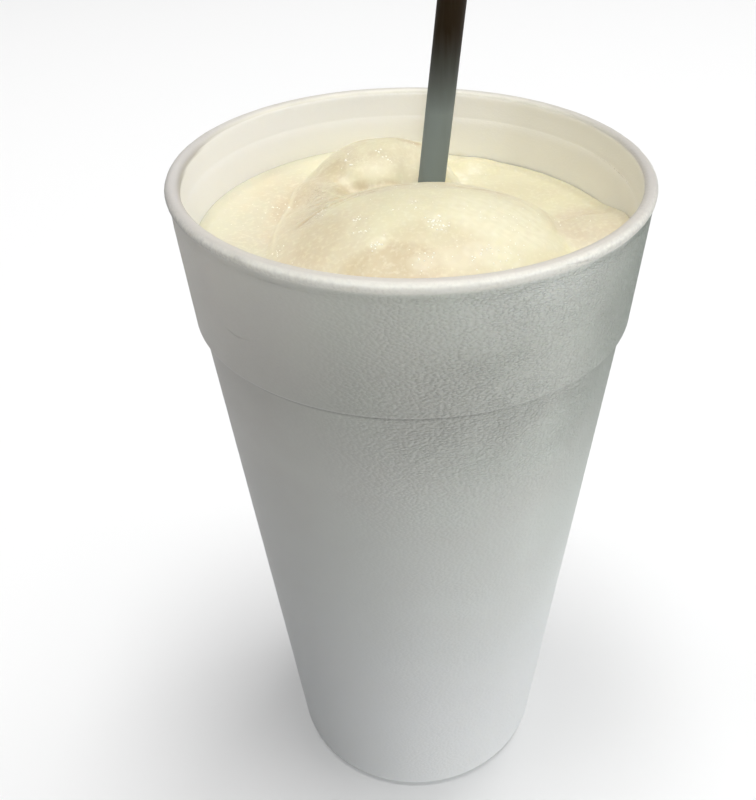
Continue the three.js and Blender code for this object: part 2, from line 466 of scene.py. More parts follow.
@dataclass(frozen=True)
class OuterSkin:
    """The foam's outside, with painted light and shade across its sides, towards its foot, at its ledge and
    on its band, and a painted reflection on its left edge.
    """

    # Painted light and shade: the side colours stand in for how the light falls across the cup, and the paler
    # foot for the light that the table throws up.
    left_painted_light_colour: Colour = (0.865, 0.84, 0.775, 1)
    middle_painted_light_colour: Colour = (0.76, 0.78, 0.71, 1)
    right_painted_light_colour: Colour = (0.755, 0.815, 0.73, 1)
    lit_foot_colour: Colour = (0.945, 0.98, 0.98, 1)
    left_painted_light_part: Ramp = Ramp(-42 * MM, -12 * MM, 1, 0)
    right_painted_light_part: Ramp = Ramp(-8 * MM, 40 * MM)
    climb: Ramp = Ramp(35 * MM, 165 * MM)
    blush_colour: Colour = (0.765, 0.725, 0.70, 1)
    blush_size: Size = (30 * MM, 30 * MM, 22 * MM)
    blush_share: Ramp = Ramp(0.42, 0.62, 0, 0.3)
    shade_colour: Colour = (0.30, 0.30, 0.28, 1)
    # Painted shade under the ledge, and a painted highlight on its edge.
    ledge_level: float = 150.7 * MM
    ledge_hides: float = 0.9 * MM
    ledge_shade_line_height: float = 0.7 * MM
    ledge_shade_line_share: float = 0.5
    ledge_shade_height: float = 22 * MM
    ledge_shade_share: float = 0.2
    ledge_light_colour: Colour = (0.95, 0.95, 0.93, 1)
    ledge_light: Span = Span(151.05 * MM, 0.42 * MM)
    ledge_light_share: Ramp = Ramp(-30 * MM, 25 * MM, 0.6, 0.1)
    band_shade: Ramp = Ramp(150.7 * MM, 185 * MM, 0.34, 0.136)
    band_shade_azimuths: Span = Span(-106, 54)
    # Painted light on the band's near right, under the bead and above the ledge.
    painted_light_colour: Colour = (0.96, 1.0, 0.94, 1)
    painted_light_azimuths: Span = Span(-60, 28)
    painted_light_under_ledge: Ramp = Ramp(120 * MM, 150 * MM, 0, 0.3)
    painted_light_under_bead: Ramp = Ramp(166 * MM, 178 * MM, 0, 0.6)
    # Painted shade on the cup's right side, strongest towards the band.
    painted_shade_side_colour: Colour = (0.18, 0.22, 0.185, 1)
    painted_shade_side_starts: Ramp = Ramp(-54, -16, 0, 0.97)
    painted_shade_side_ends: Ramp = Ramp(30, 70, 1, 0)
    painted_shade_side_climb: Ramp = Ramp(70 * MM, 162 * MM, 0.05, 1)
    # A painted reflection of the cream on the band's left edge.
    painted_reflection_colour: Colour = (0.66, 0.645, 0.50, 1)
    painted_reflection_azimuths: Span = Span(-167, 11)
    painted_reflection_levels: Span = Span(163 * MM, 24 * MM)
    painted_reflection_share: float = 0.8

    def plain(self, nodes: Nodes) -> bpy.types.NodeSocket:
        """Works out the skin's colour before the painted shades at its ledge and band.

        Args:
            nodes: The foam's node tree.

        Returns:
            The colour, with painted light and shade from side to side, and paler towards the foot as painted
            light from the table.
        """
        across = nodes.along(Axis.RIGHT)
        climb = nodes.spread(nodes.along(Axis.UP), self.climb)
        upper = nodes.blend(nodes.spread(across, self.right_painted_light_part), self.middle_painted_light_colour, self.right_painted_light_colour)
        upper = nodes.blend(nodes.spread(across, self.left_painted_light_part), upper, self.left_painted_light_colour)
        skin = nodes.blend(climb, self.lit_foot_colour, upper)
        blush = nodes.spread(nodes.noise(self.blush_size, detail=3), self.blush_share)
        return nodes.blend(nodes.product(blush, climb), skin, self.blush_colour)

    def at_ledge(self, nodes: Nodes, skin: bpy.types.NodeSocket) -> bpy.types.NodeSocket:
        """Adds the painted shade line and the soft painted shade under the ledge, and the painted highlight
        on its edge.

        Args:
            nodes: The foam's node tree.
            skin: The colour so far.

        Returns:
            The colour with them.
        """
        level = nodes.along(Axis.UP)
        under = self.ledge_level - self.ledge_hides
        line = nodes.spread(level, Ramp(under - self.ledge_shade_line_height, under, 0, self.ledge_shade_line_share))
        shade = nodes.spread(level, Ramp(under - self.ledge_shade_height, under, 0, self.ledge_shade_share))
        below = nodes.math("LESS_THAN", level, self.ledge_level)
        skin = nodes.blend(nodes.product(nodes.math("ADD", line, shade), below), skin, self.shade_colour)
        lit = nodes.spread(nodes.along(Axis.RIGHT), self.ledge_light_share)
        edge = nodes.product(nodes.near(level, self.ledge_light), lit)
        return nodes.blend(edge, skin, self.ledge_light_colour)

    def at_band(self, nodes: Nodes, skin: bpy.types.NodeSocket) -> bpy.types.NodeSocket:
        """Adds the painted shade on the band's near side, the painted light beside it, the painted shade on
        the right side and the painted reflection on the left edge.

        Args:
            nodes: The foam's node tree.
            skin: The colour so far.

        Returns:
            The colour with them.
        """
        level = nodes.along(Axis.UP)
        azimuth = nodes.azimuth()
        above = nodes.math("GREATER_THAN", level, self.ledge_level)
        shaded = nodes.near(azimuth, self.band_shade_azimuths)
        shaded = nodes.product(nodes.spread(level, self.band_shade), above, shaded)
        skin = nodes.blend(shaded, skin, self.shade_colour)
        under_ledge = nodes.spread(level, self.painted_light_under_ledge)
        under_bead = nodes.spread(level, self.painted_light_under_bead)
        here = nodes.near(azimuth, self.painted_light_azimuths)
        pale = nodes.product(here, nodes.math("ADD", under_ledge, under_bead))
        skin = nodes.blend(pale, skin, self.painted_light_colour)
        starts = nodes.spread(azimuth, self.painted_shade_side_starts)
        ends = nodes.spread(azimuth, self.painted_shade_side_ends)
        dark = nodes.product(starts, ends, nodes.spread(level, self.painted_shade_side_climb))
        skin = nodes.blend(dark, skin, self.painted_shade_side_colour)
        side = nodes.near(azimuth, self.painted_reflection_azimuths)
        painted_reflection = nodes.product(side, nodes.near(level, self.painted_reflection_levels), self.painted_reflection_share)
        return nodes.blend(painted_reflection, skin, self.painted_reflection_colour)

    def colour(self, nodes: Nodes) -> bpy.types.NodeSocket:
        """The outside's colour with all its painted light and shade."""
        return self.at_band(nodes, self.at_ledge(nodes, self.plain(nodes)))


@dataclass(frozen=True)
class BeadSkin:
    """The rolled bead's mottled skin, with a painted highlight on its near face and painted shade on its
    crown, at its sides and along its inner edge.

    Its turns are angles round its own circle, in degrees from its outermost line.
    """

    # Painted light: a painted highlight on the near face, painted shade on the crown and at the sides.
    painted_highlight_colour: Colour = (0.98, 0.97, 0.89, 1)
    shaded_crown_colour: Colour = (0.56, 0.53, 0.475, 1)
    shaded_bead_side_colour: Colour = (0.51, 0.49, 0.465, 1)
    inner_colour: Colour = (0.76, 0.74, 0.65, 1)
    # A painted shade line where the bead meets the inner wall, on the near side.
    shade_line_colour: Colour = (0.42, 0.40, 0.38, 1)
    rim_radius: float = 56 * MM
    side_power: float = 5.0
    mottle_shift: Ramp = Ramp(0.35, 0.65, -0.16, 0.16)
    left_shift: Ramp = Ramp(-45 * MM, 0, 0.22, 0)
    right_share: Ramp = Ramp(30 * MM, 55 * MM, 1, 0.8)
    crown_turn: Ramp = Ramp(26, 68)
    inner_turn: Ramp = Ramp(105, 140)
    far_part: Ramp = Ramp(10 * MM, 40 * MM)
    shade_line_turn: Span = Span(196, 12)
    shade_line_share: float = 0.3

    def side_shade_and_mottle(self, nodes: Nodes, mottle: bpy.types.NodeSocket) -> bpy.types.NodeSocket:
        """Works out the bead's painted shade, which is most at its sides, with its mottle.

        Args:
            nodes: The foam's node tree.
            mottle: The bead's mottle.

        Returns:
            The painted shade with the mottle, from 0 to 1.
        """
        right = nodes.along(Axis.RIGHT)
        across = nodes.math("ABSOLUTE", nodes.math("DIVIDE", right, self.rim_radius), 0.0)
        sides = nodes.math("POWER", across, self.side_power)
        sides = nodes.product(sides, nodes.spread(right, self.right_share))
        left_shift = nodes.spread(right, self.left_shift)
        shift = nodes.math("ADD", nodes.spread(mottle, self.mottle_shift), left_shift)
        return nodes.spread(nodes.math("ADD", sides, shift), Ramp(0, 1))

    def colour(self, nodes: Nodes, mottle: bpy.types.NodeSocket) -> bpy.types.NodeSocket:
        """Works out the bead's colour, with its painted highlight and shades.

        Args:
            nodes: The foam's node tree.
            mottle: The bead's mottle.

        Returns:
            The colour.
        """
        darkening = self.side_shade_and_mottle(nodes, mottle)
        face = nodes.blend(darkening, self.painted_highlight_colour, self.shaded_bead_side_colour)
        crown = nodes.blend(darkening, self.shaded_crown_colour, self.shaded_bead_side_colour)
        turn = nodes.kept("bead_turn")
        skin = nodes.blend(nodes.spread(turn, self.crown_turn), face, crown)
        far_part = nodes.spread(nodes.along(Axis.FAR), self.far_part)
        inner = nodes.product(nodes.spread(turn, self.inner_turn), far_part)
        skin = nodes.blend(inner, skin, self.inner_colour)
        near_part = nodes.math("SUBTRACT", 1.0, far_part)
        line = nodes.product(nodes.near(turn, self.shade_line_turn), near_part, self.shade_line_share)
        return nodes.blend(line, skin, self.shade_line_colour)


@dataclass(frozen=True)
class InnerSkin:
    """The cup's inside, far paler than the outside and creamier to the right as painted light, with a painted
    shade line at the lip, the shake's film and a brown speck.
    """

    # Painted light: far paler than the outside, and creamier to the right where the shake throws its light.
    left_painted_light_colour: Colour = (0.985, 0.975, 0.935, 1)
    right_painted_light_colour: Colour = (0.985, 0.945, 0.85, 1)
    right_painted_light_part: Ramp = Ramp(-20 * MM, 45 * MM)
    # A painted shade line at the lip on the right, in place of the shade of the lip's step.
    lip_shade_colour: Colour = (0.45, 0.41, 0.33, 1)
    lip_levels: Span = Span(177.1 * MM, 0.25 * MM)
    lip_azimuths: Span = Span(12, 18)
    lip_share: Ramp = Ramp(0.35, 0.65, 0.1, 0.8)
    # The film is shake clinging to the wall; its paler colour also paints light over the shade where the wall
    # meets the shake, most on the left.
    film_and_light_colour: Colour = (0.955, 0.94, 0.865, 1)
    film_and_light_left_colour: Colour = (0.985, 0.975, 0.93, 1)
    film_left_part: Ramp = Ramp(-50 * MM, -36 * MM, 1, 0)
    film_height: float = 9 * MM
    film_patch_size: Size = (7 * MM, 7 * MM, 9 * MM)
    film_ragged: Ramp = Ramp(0.25, 0.75, -0.75 * MM, 0.75 * MM)
    smear_azimuths: Span = Span(66, 13)
    smear_height: float = 6 * MM
    speck_colour: Colour = (0.66, 0.58, 0.40, 1)
    speck_azimuths: Span = Span(75, 3)
    speck_levels: Span = Span(165.3 * MM, 2.6 * MM)
    speck_share: float = 0.6

    def colour(self, nodes: Nodes, mottle: bpy.types.NodeSocket) -> bpy.types.NodeSocket:
        """Works out the dry wall's colour, with its painted light and the painted shade line at the lip.

        Args:
            nodes: The foam's node tree.
            mottle: A fine mottle, which breaks up the painted shade line at the lip.

        Returns:
            The colour.
        """
        right_painted_light_part = nodes.spread(nodes.along(Axis.RIGHT), self.right_painted_light_part)
        skin = nodes.blend(right_painted_light_part, self.left_painted_light_colour, self.right_painted_light_colour)
        line = nodes.near(nodes.along(Axis.UP), self.lip_levels)
        here = nodes.near(nodes.azimuth(), self.lip_azimuths)
        line = nodes.product(line, here, nodes.spread(mottle, self.lip_share))
        return nodes.blend(line, skin, self.lip_shade_colour)

    def film(self, nodes: Nodes) -> bpy.types.NodeSocket:
        """Works out how much shake clings to the wall above the shake's edge.

        Args:
            nodes: The foam's node tree.

        Returns:
            The film's share, from 0 to 1.
        """
        smear = nodes.product(nodes.near(nodes.azimuth(), self.smear_azimuths), self.smear_height)
        edge = nodes.math("ADD", nodes.kept("shake_edge"), smear)
        above = nodes.math("SUBTRACT", nodes.along(Axis.UP), edge)
        shift = nodes.spread(nodes.noise(self.film_patch_size, detail=4), self.film_ragged)
        film = nodes.spread(nodes.math("ADD", above, shift), Ramp(0, self.film_height, 1, 0))
        return nodes.product(film, nodes.kept("inside"))

    def wetted(self, nodes: Nodes, skin: bpy.types.NodeSocket) -> bpy.types.NodeSocket:
        """Adds the film, whose paler colour also paints light over the shade where the wall meets the shake,
        and the speck.

        Args:
            nodes: The foam's node tree.
            skin: The colour so far.

        Returns:
            The colour with them.
        """
        left_painted_light_part = nodes.spread(nodes.along(Axis.RIGHT), self.film_left_part)
        film_and_light_colour = nodes.blend(left_painted_light_part, self.film_and_light_colour, self.film_and_light_left_colour)
        skin = nodes.blend(self.film(nodes), skin, film_and_light_colour)
        here = nodes.near(nodes.azimuth(), self.speck_azimuths)
        speck = nodes.product(here, nodes.near(nodes.along(Axis.UP), self.speck_levels), nodes.kept("inside"))
        return nodes.blend(nodes.product(speck, self.speck_share), skin, self.speck_colour)


@dataclass(frozen=True)
class FoamFinish:
    """Moulded white foam: pebbled and wrinkled outside, mottled on its bead, and wet inside, with light and
    shade painted into its colours.
    """

    outside: OuterSkin = OuterSkin()
    bead: BeadSkin = BeadSkin()
    inside: InnerSkin = InnerSkin()
    pebbles: Pebbles = Pebbles()
    mottle_size: float = 0.7 * MM
    mottle_relief: float = 0.06 * MM
    grain_size: float = 0.25 * MM
    grain_relief: float = 0.012 * MM
    wrinkle_relief: float = 0.25 * MM
    wrinkles: tuple[Wrinkle, ...] = (
        Wrinkle(-134, 162.7 * MM, 9, 0.0, 0.03 * MM, 0.3 * MM, 1.0),
        Wrinkle(-42, 165.6 * MM, 6, -0.38 * MM, 0.0, 0.3 * MM, -0.8),
        Wrinkle(-118, 180.2 * MM, 16, 0.0, 0.0, 0.25 * MM, 0.5),
        Wrinkle(-52, 182.6 * MM, 8, -0.12 * MM, 0.0, 0.22 * MM, -0.8),
        Wrinkle(100, 160 * MM, 10, 0.2 * MM, 0.02 * MM, 0.3 * MM, 0.8),
    )
    roughness: float = 0.5
    sheen: float = 0.35

    def relief(
        self, nodes: Nodes, seams: bpy.types.NodeSocket, mottle: bpy.types.NodeSocket,
    ) -> bpy.types.NodeSocket:
        """Works out the foam's fine relief: pebbles, the bead's mottle, grain and wrinkles.

        Args:
            nodes: The foam's node tree.
            seams: The seams between the pebbles.
            mottle: The bead's mottle.

        Returns:
            The bent normal.
        """
        relief = nodes.bump(nodes.math("SUBTRACT", 1.0, seams), self.pebbles.relief)
        relief = nodes.bump(nodes.product(mottle, nodes.kept("bead")), self.mottle_relief, relief)
        relief = nodes.bump(nodes.noise((self.grain_size,) * 3, detail=3), self.grain_relief, relief)
        lines = self.wrinkles[0].share(nodes)
        for wrinkle in self.wrinkles[1:]:
            lines = nodes.math("ADD", lines, wrinkle.share(nodes))
        return nodes.bump(lines, self.wrinkle_relief, relief)

    def material(self) -> bpy.types.Material:
        """Makes the foam's material.

        Returns:
            The material.
        """
        material = bpy.data.materials.new("moulded foam")
        nodes = Nodes(material)
        seams = self.pebbles.seams(nodes)
        mottle = nodes.noise((self.mottle_size,) * 3, detail=3)
        skin = nodes.blend(nodes.kept("bead"), self.outside.colour(nodes), self.bead.colour(nodes, mottle))
        skin = nodes.blend(nodes.kept("inside"), skin, self.inside.colour(nodes, mottle))
        skin = nodes.blend(nodes.product(seams, self.pebbles.seam_share), skin, self.pebbles.seam_colour)
        nodes.surface("BsdfPrincipled", {
            "Base Color": self.inside.wetted(nodes, skin),
            "Roughness": self.roughness,
            "Specular IOR Level": self.sheen,
            "Normal": self.relief(nodes, seams, mottle),
            "Subsurface Weight": 0.3,
            "Subsurface Radius": (1.0, 0.95, 0.85),
            "Subsurface Scale": 1.5 * MM,
        })
        return material


@dataclass(frozen=True)
class ShakeFinish:
    """Thick vanilla shake: pale cream, wet, a little see-through, with paler froth, stringy folds, and
    painted shade on its left side and in its creases.
    """

    colour: Colour = (0.675, 0.63, 0.44, 1)
    # Painted shade on the shake's left side, where the wall shades it.
    left_painted_light_colour: Colour = (0.58, 0.55, 0.415, 1)
    left_painted_light_part: Ramp = Ramp(-34 * MM, -19 * MM, 1, 0)
    warm_colour: Colour = (0.61, 0.53, 0.385, 1)
    cloud_size: float = 12 * MM
    clouds: Ramp = Ramp(0.3, 0.7, -0.35, 0.35)
    froth_colour: Colour = (0.80, 0.765, 0.59, 1)
    fleck_size: float = 1.1 * MM
    flecks: Ramp = Ramp(0.5, 0.72, 0, 0.35)
    # Painted shade in the folds' creases, in patches and between the strings.
    painted_shade_colour: Colour = (0.46, 0.345, 0.19, 1)
    string_size: Size = (3.6 * MM, 0.42 * MM, 0.42 * MM)
    string_turn: float = 33
    strings: Ramp = Ramp(0.35, 0.65)
    string_paler: float = 0.45
    string_darker: float = 0.22
    string_relief: float = 0.38 * MM
    grain_size: float = 0.6 * MM
    grain_relief: float = 0.05 * MM
    roughness: float = 0.45

    def cream(
        self, nodes: Nodes, strings: bpy.types.NodeSocket, stringy: bpy.types.NodeSocket,
    ) -> bpy.types.NodeSocket:
        """Works out the shake's colour, with its painted shade.

        Args:
            nodes: The shake's node tree.
            strings: The fine strokes along the folds, from 0 to 1.
            stringy: How much each place has of them.

        Returns:
            The colour.
        """
        clouds = nodes.spread(nodes.noise((self.cloud_size,) * 3, detail=3), self.clouds)
        warmth = nodes.spread(nodes.math("ADD", nodes.kept("warmth"), clouds), Ramp(0, 1))
        left_painted_light_part = nodes.spread(nodes.along(Axis.RIGHT), self.left_painted_light_part)
        cream = nodes.blend(left_painted_light_part, self.colour, self.left_painted_light_colour)
        cream = nodes.blend(warmth, cream, self.warm_colour)
        paler = nodes.product(strings, stringy, self.string_paler)
        cream = nodes.blend(paler, cream, self.froth_colour)
        darker = nodes.product(nodes.math("SUBTRACT", 1.0, strings), stringy, self.string_darker)
        painted_shade = nodes.math("MAXIMUM", nodes.kept("painted_shade"), darker)
        cream = nodes.blend(painted_shade, cream, self.painted_shade_colour)
        flecks = nodes.spread(nodes.noise((self.fleck_size,) * 3, detail=3), self.flecks)
        froth = nodes.math("MAXIMUM", nodes.kept("froth"), flecks)
        return nodes.blend(froth, cream, self.froth_colour)

    def material(self) -> bpy.types.Material:
        """Makes the shake's material.

        Returns:
            The material.
        """
        material = bpy.data.materials.new("vanilla shake")
        nodes = Nodes(material)
        strokes = nodes.noise(self.string_size, detail=2, turn=self.string_turn)
        strings = nodes.spread(strokes, self.strings)
        stringy = nodes.kept("strings")
        relief = nodes.bump(nodes.noise((self.grain_size,) * 3, detail=4), self.grain_relief)
        nodes.surface("BsdfPrincipled", {
            "Base Color": self.cream(nodes, strings, stringy),
            "Roughness": self.roughness,
            "Normal": nodes.bump(nodes.product(strings, stringy), self.string_relief, relief),
            "Subsurface Weight": 0.5,
            "Subsurface Radius": (1.0, 0.75, 0.4),
            "Subsurface Scale": 1.6 * MM,
            "Coat Weight": 0.12,
            "Coat Roughness": 0.3,
        })
        return material


@dataclass(frozen=True)
class BubbleFinish:
    """The pale wet skin of small bubbles and ice grains, pale as ice is and near white to paint their glints
    as well.
    """

    colour: Colour = (0.97, 0.96, 0.86, 1)
    shade: Colour = (0.9, 0.87, 0.74, 1)
    mottle_size: float = 3 * MM
    grain_size: float = 0.1 * MM
    grain_relief: float = 0.01 * MM

    def material(self) -> bpy.types.Material:
        """Makes the bubbles' material.

        Returns:
            The material.
        """
        material = bpy.data.materials.new("bubble skin")
        nodes = Nodes(material)
        nodes.surface("BsdfPrincipled", {
            "Base Color": nodes.blend(nodes.noise((self.mottle_size,) * 3), self.colour, self.shade),
            "Roughness": 0.35,
            "Normal": nodes.bump(nodes.noise((self.grain_size,) * 3), self.grain_relief),
            "Coat Weight": 0.3,
            "Coat Roughness": 0.15,
        })
        return material


@dataclass(frozen=True)
class StrawFinish:
    """Dark drinking straw, with painted light from inside the cup that makes it greyer and greener towards
    the shake.
    """

    top_colour: Colour = (0.021, 0.012, 0.004, 1)
    # Painted light: the straw's lower part is lit by the inside of the cup.
    lit_foot_colour: Colour = (0.243, 0.283, 0.28, 1)
    lit_part: Ramp = Ramp(190 * MM, 213 * MM, 1, 0)
    streak_size: Size = (1.1 * MM, 1.1 * MM, 16 * MM)
    streaks: Ramp = Ramp(0.3, 0.7, -0.03, 0.03)
    streak_relief: float = 0.01 * MM
    roughness: float = 0.55
    sheen: float = 0.12

    def material(self) -> bpy.types.Material:
        """Makes the straw's material.

        Returns:
            The material.
        """
        material = bpy.data.materials.new("straw plastic")
        nodes = Nodes(material)
        pale = nodes.spread(nodes.along(Axis.UP), self.lit_part)
        dark = nodes.math("SUBTRACT", 1.0, nodes.product(pale, pale))
        streaks = nodes.noise(self.streak_size, detail=3)
        share = nodes.spread(nodes.math("ADD", dark, nodes.spread(streaks, self.streaks)), Ramp(0, 1))
        nodes.surface("BsdfPrincipled", {
            "Base Color": nodes.blend(share, self.lit_foot_colour, self.top_colour),
            "Roughness": self.roughness,
            "Specular IOR Level": self.sheen,
            "Normal": nodes.bump(streaks, self.streak_relief),
        })
        return material


@dataclass(frozen=True)
class FloorFinish:
    """A plain white table."""

    colour: Colour = (0.92, 0.92, 0.92, 1)

    def material(self) -> bpy.types.Material:
        """Makes the floor's material.

        Returns:
            The material.
        """
        material = bpy.data.materials.new("white table")
        Nodes(material).surface("BsdfDiffuse", {"Color": self.colour})
        return material


@dataclass(frozen=True)
class Mark:
    """A small push in or out of the cup's wall, at an azimuth and a level."""

    azimuth: float
    level: float
    wide: float
    tall: float
    push: float

    def at(self, azimuth: np.ndarray, level: np.ndarray, radius: np.ndarray) -> np.ndarray:
        """Works out how far the mark moves some places outwards.

        Args:
            azimuth: The places' azimuths.
            level: Their levels.
            radius: How far they are from the axis.

        Returns:
            The move of each place.
        """
        turn = (azimuth - self.azimuth + 180) % 360 - 180
        across = np.radians(turn) * radius
        return self.push * hump(across, self.wide) * hump(level - self.level, self.tall)


@dataclass
class FoamCup:
    """The moulded foam cup: foot ring, body, ledge, band, rolled bead and inside."""

    bead_radius: float = 1.6 * MM
    bead_from_degrees: float = -30
    bead_to_degrees: float = 172.5
    crease_depth: float = 0.5 * MM
    band_height: float = 33.8 * MM
    band_top_inset: float = 0.4 * MM
    band_foot_inset: float = 2.95 * MM
    ledge_round: float = 0.5 * MM
    ledge_width: float = 1.3 * MM
    body_foot_radius: float = 36.25 * MM
    base_round: float = 3.4 * MM
    wall: float = 3.1 * MM
    lip_step_depth: float = 7.4 * MM
    lip_step_width: float = 0.07 * MM
    lip_rise: Point = (0.06 * MM, 0.8 * MM)
    groove_level: float = 178.9 * MM
    groove_depth: float = 0.16 * MM
    groove_height: float = 0.8 * MM
    groove_middle: float = 150
    groove_onset: float = 0.3
    floor_thickness: float = 4 * MM
    floor_round: float = 4 * MM
    foot_ring_width: float = 4.5 * MM
    foot_recess: float = 2.5 * MM
    recess_bevel: float = 0.75 * MM
    sides: int = 320
    wall_step: float = 2.2 * MM
    fine_step: float = 0.7 * MM
    fine_above: float = 175 * MM
    out_of_round: float = 0.12 * MM
    sway_waves: tuple[tuple[int, float, float], ...] = ((2, 1.0, 0.8), (3, 0.5, -1.1), (5, 0.3, 2.0))
    rim_wave: float = 0.1 * MM
    rim_wave_start: float = 0.4
    rim_fade: float = 5 * MM
    rim_ripple: Ripple = Ripple(0.04 * MM, 9 * MM, seed=3)
    bead_fade: float = 3 * MM
    bead_ripple: Ripple = Ripple(0.024 * MM, 3 * MM, seed=4)
    bead_foot_shift: float = 0.7 * MM
    bead_foot_soft: float = 0.64 * MM
    bead_foot_left: Ramp = Ramp(-20 * MM, -50 * MM)
    bead_foot_near: Ramp = Ramp(25 * MM, -10 * MM)
    bead_onset: float = 0.3
    marks: tuple[Mark, ...] = (
        Mark(-41.3, 179.6 * MM, 0.9 * MM, 0.7 * MM, -0.45 * MM),
        Mark(-128.5, 182.8 * MM, 1.2 * MM, 1.0 * MM, -0.4 * MM),
        Mark(-60, 120 * MM, 14 * MM, 18 * MM, 0.15 * MM),
        Mark(-110, 90 * MM, 16 * MM, 26 * MM, -0.15 * MM),
        Mark(-30, 60 * MM, 12 * MM, 22 * MM, -0.12 * MM),
        Mark(70, 100 * MM, 15 * MM, 25 * MM, 0.15 * MM),
        Mark(160, 70 * MM, 14 * MM, 22 * MM, -0.15 * MM),
    )

    def __post_init__(self) -> None:
        """Works out the cup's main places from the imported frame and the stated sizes."""
        low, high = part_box("cup")
        self.rim_radius = (high.x - low.x) / 2
        self.height = high.z
        self.ledge_level = self.height - self.band_height
        self.bead_centre = (self.rim_radius - self.bead_radius, self.height - self.bead_radius)
        self.band_foot_radius = self.rim_radius - self.band_foot_inset
        self.body_top_radius = self.band_foot_radius - self.ledge_width
        self.floor_level = self.foot_recess + self.floor_thickness
        self.lip_level = self.height - self.lip_step_depth
        self.body_slope = math.atan((self.body_top_radius - self.body_foot_radius) / self.ledge_level)

    def band_radius(self, level: Number) -> Number:
        """The band's outer radius at a level."""
        share = (level - self.ledge_level) / (self.bead_centre[1] - self.ledge_level)
        return between(self.band_foot_radius, self.rim_radius - self.band_top_inset, share)

    def body_radius(self, level: Number) -> Number:
        """The body's outer radius at a level."""
        return between(self.body_foot_radius, self.body_top_radius, level / self.ledge_level)

    def inner_radius(self, level: Number) -> Number:
        """The cup's inner radius at a level, or at each of several levels."""
        outer = np.where(level > self.ledge_level, self.band_radius(level), self.body_radius(level))
        return outer - self.wall

    def sway(self, azimuth: np.ndarray, level: np.ndarray) -> np.ndarray:
        """Works out how far the soft wall stands off its true circle, which is most at the rim.

        Args:
            azimuth: The azimuths of some places.
            level: Their levels.

        Returns:
            How far each place is moved outwards.
        """
        turn = np.radians(azimuth)
        shape = sum(share * np.cos(count * turn + start) for count, share, start in self.sway_waves)
        return self.out_of_round * shape * eased(level / self.height)

    @staticmethod
    def arc(centre: Point, radius: float, start: float, end: float, steps: int) -> list[Point]:
        """Points of a round in the section's plane.

        Args:
            centre: The middle of the round, as radius and level.
            radius: Its radius.
            start: The angle that it starts at, in degrees.
            end: The angle that it ends at, in degrees.
            steps: How many steps it has.

        Returns:
            The points, with both ends.
        """
        angles = [math.radians(between(start, end, i / steps)) for i in range(steps + 1)]
        return [(centre[0] + radius * math.cos(a), centre[1] + radius * math.sin(a)) for a in angles]

    @staticmethod
    def bow(start: Point, pull: Point, end: Point, steps: int) -> list[Point]:
        """Points of a curve in the section's plane.

        Args:
            start: Where it starts.
            pull: The point that it is drawn towards.
            end: Where it ends.
            steps: How many steps it has.

        Returns:
            The points, without both ends.
        """
        points = []
        for i in range(1, steps):
            share = i / steps
            weights = ((1 - share) ** 2, 2 * share * (1 - share), share**2)
            corners = zip(weights, (start, pull, end))
            radius, level = np.sum([weight * np.array(corner) for weight, corner in corners], axis=0)
            points.append((float(radius), float(level)))
        return points

    def outside_section(self) -> list[Point]:
        """Works out the section from the middle of the underside, round the foot and over the bead.

        Returns:
            The section's corners, as radius and level.
        """
        slope = math.degrees(self.body_slope)
        foot_centre_radius = self.body_radius(self.base_round) - self.base_round / math.cos(self.body_slope)
        foot_inner = foot_centre_radius - self.foot_ring_width
        ledge_centre = (self.band_foot_radius - self.ledge_round, self.ledge_level + self.ledge_round)
        crease_foot = self.bead_centre[1] - 2 * self.bead_radius
        crease_start = (self.band_radius(crease_foot), crease_foot)
        crease_pull = (crease_start[0] - self.crease_depth, self.bead_centre[1] - self.bead_radius)
        bead_degrees = (self.bead_from_degrees, self.bead_to_degrees)
        bead = self.arc(self.bead_centre, self.bead_radius, *bead_degrees, steps=18)
        return [
            (0, self.foot_recess),
            (foot_inner - self.foot_recess, self.foot_recess),
            (foot_inner - self.recess_bevel, self.recess_bevel),
            (foot_inner, 0),
            *self.arc((foot_centre_radius, self.base_round), self.base_round, -90, -slope, steps=10),
            (self.body_top_radius, self.ledge_level),
            *self.arc(ledge_centre, self.ledge_round, -90, 0, steps=5),
            (self.band_radius(self.fine_above), self.fine_above),
            crease_start,
            *self.bow(crease_start, crease_pull, bead[0], steps=6),
            *bead,
        ]

    def inside_section(self) -> list[Point]:
        """Works out the section from under the bead, down the inside and to the middle of the floor.

        Returns:
            The section's corners, as radius and level.
        """
        slope = math.degrees(self.body_slope)
        widening_top = self.ledge_level + 2 * self.ledge_width
        round_level = self.floor_level + self.floor_round
        round_radius = self.inner_radius(round_level) - self.floor_round / math.cos(self.body_slope)
        lip = (self.inner_radius(self.lip_level), self.lip_level)
        lip_top = (lip[0] + self.lip_step_width, self.lip_level + self.lip_step_width)
        above = (lip_top[0] + self.lip_rise[0], lip_top[1] + self.lip_rise[1])
        return [
            above,
            *self.bow(above, lip_top, lip, steps=4),
            lip,
            (self.inner_radius(widening_top), widening_top),
            (self.inner_radius(self.ledge_level), self.ledge_level),
            *self.arc((round_radius, round_level), self.floor_round, -slope, -90, steps=8),
            (0, self.floor_level),
        ]

    def section(self) -> list[Point]:
        """Works out the whole section, with long straight stretches cut into steps.

        Returns:
            The section's points, as radius and level.
        """
        corners = self.outside_section() + self.inside_section()
        points = corners[:1]
        for a, b in zip(corners, corners[1:]):
            step = self.fine_step if min(a[1], b[1]) >= self.fine_above else self.wall_step
            cuts = max(1, round(math.dist(a, b) / step))
            for cut in range(1, cuts + 1):
                points.append((between(a[0], b[0], cut / cuts), between(a[1], b[1], cut / cuts)))
        return points

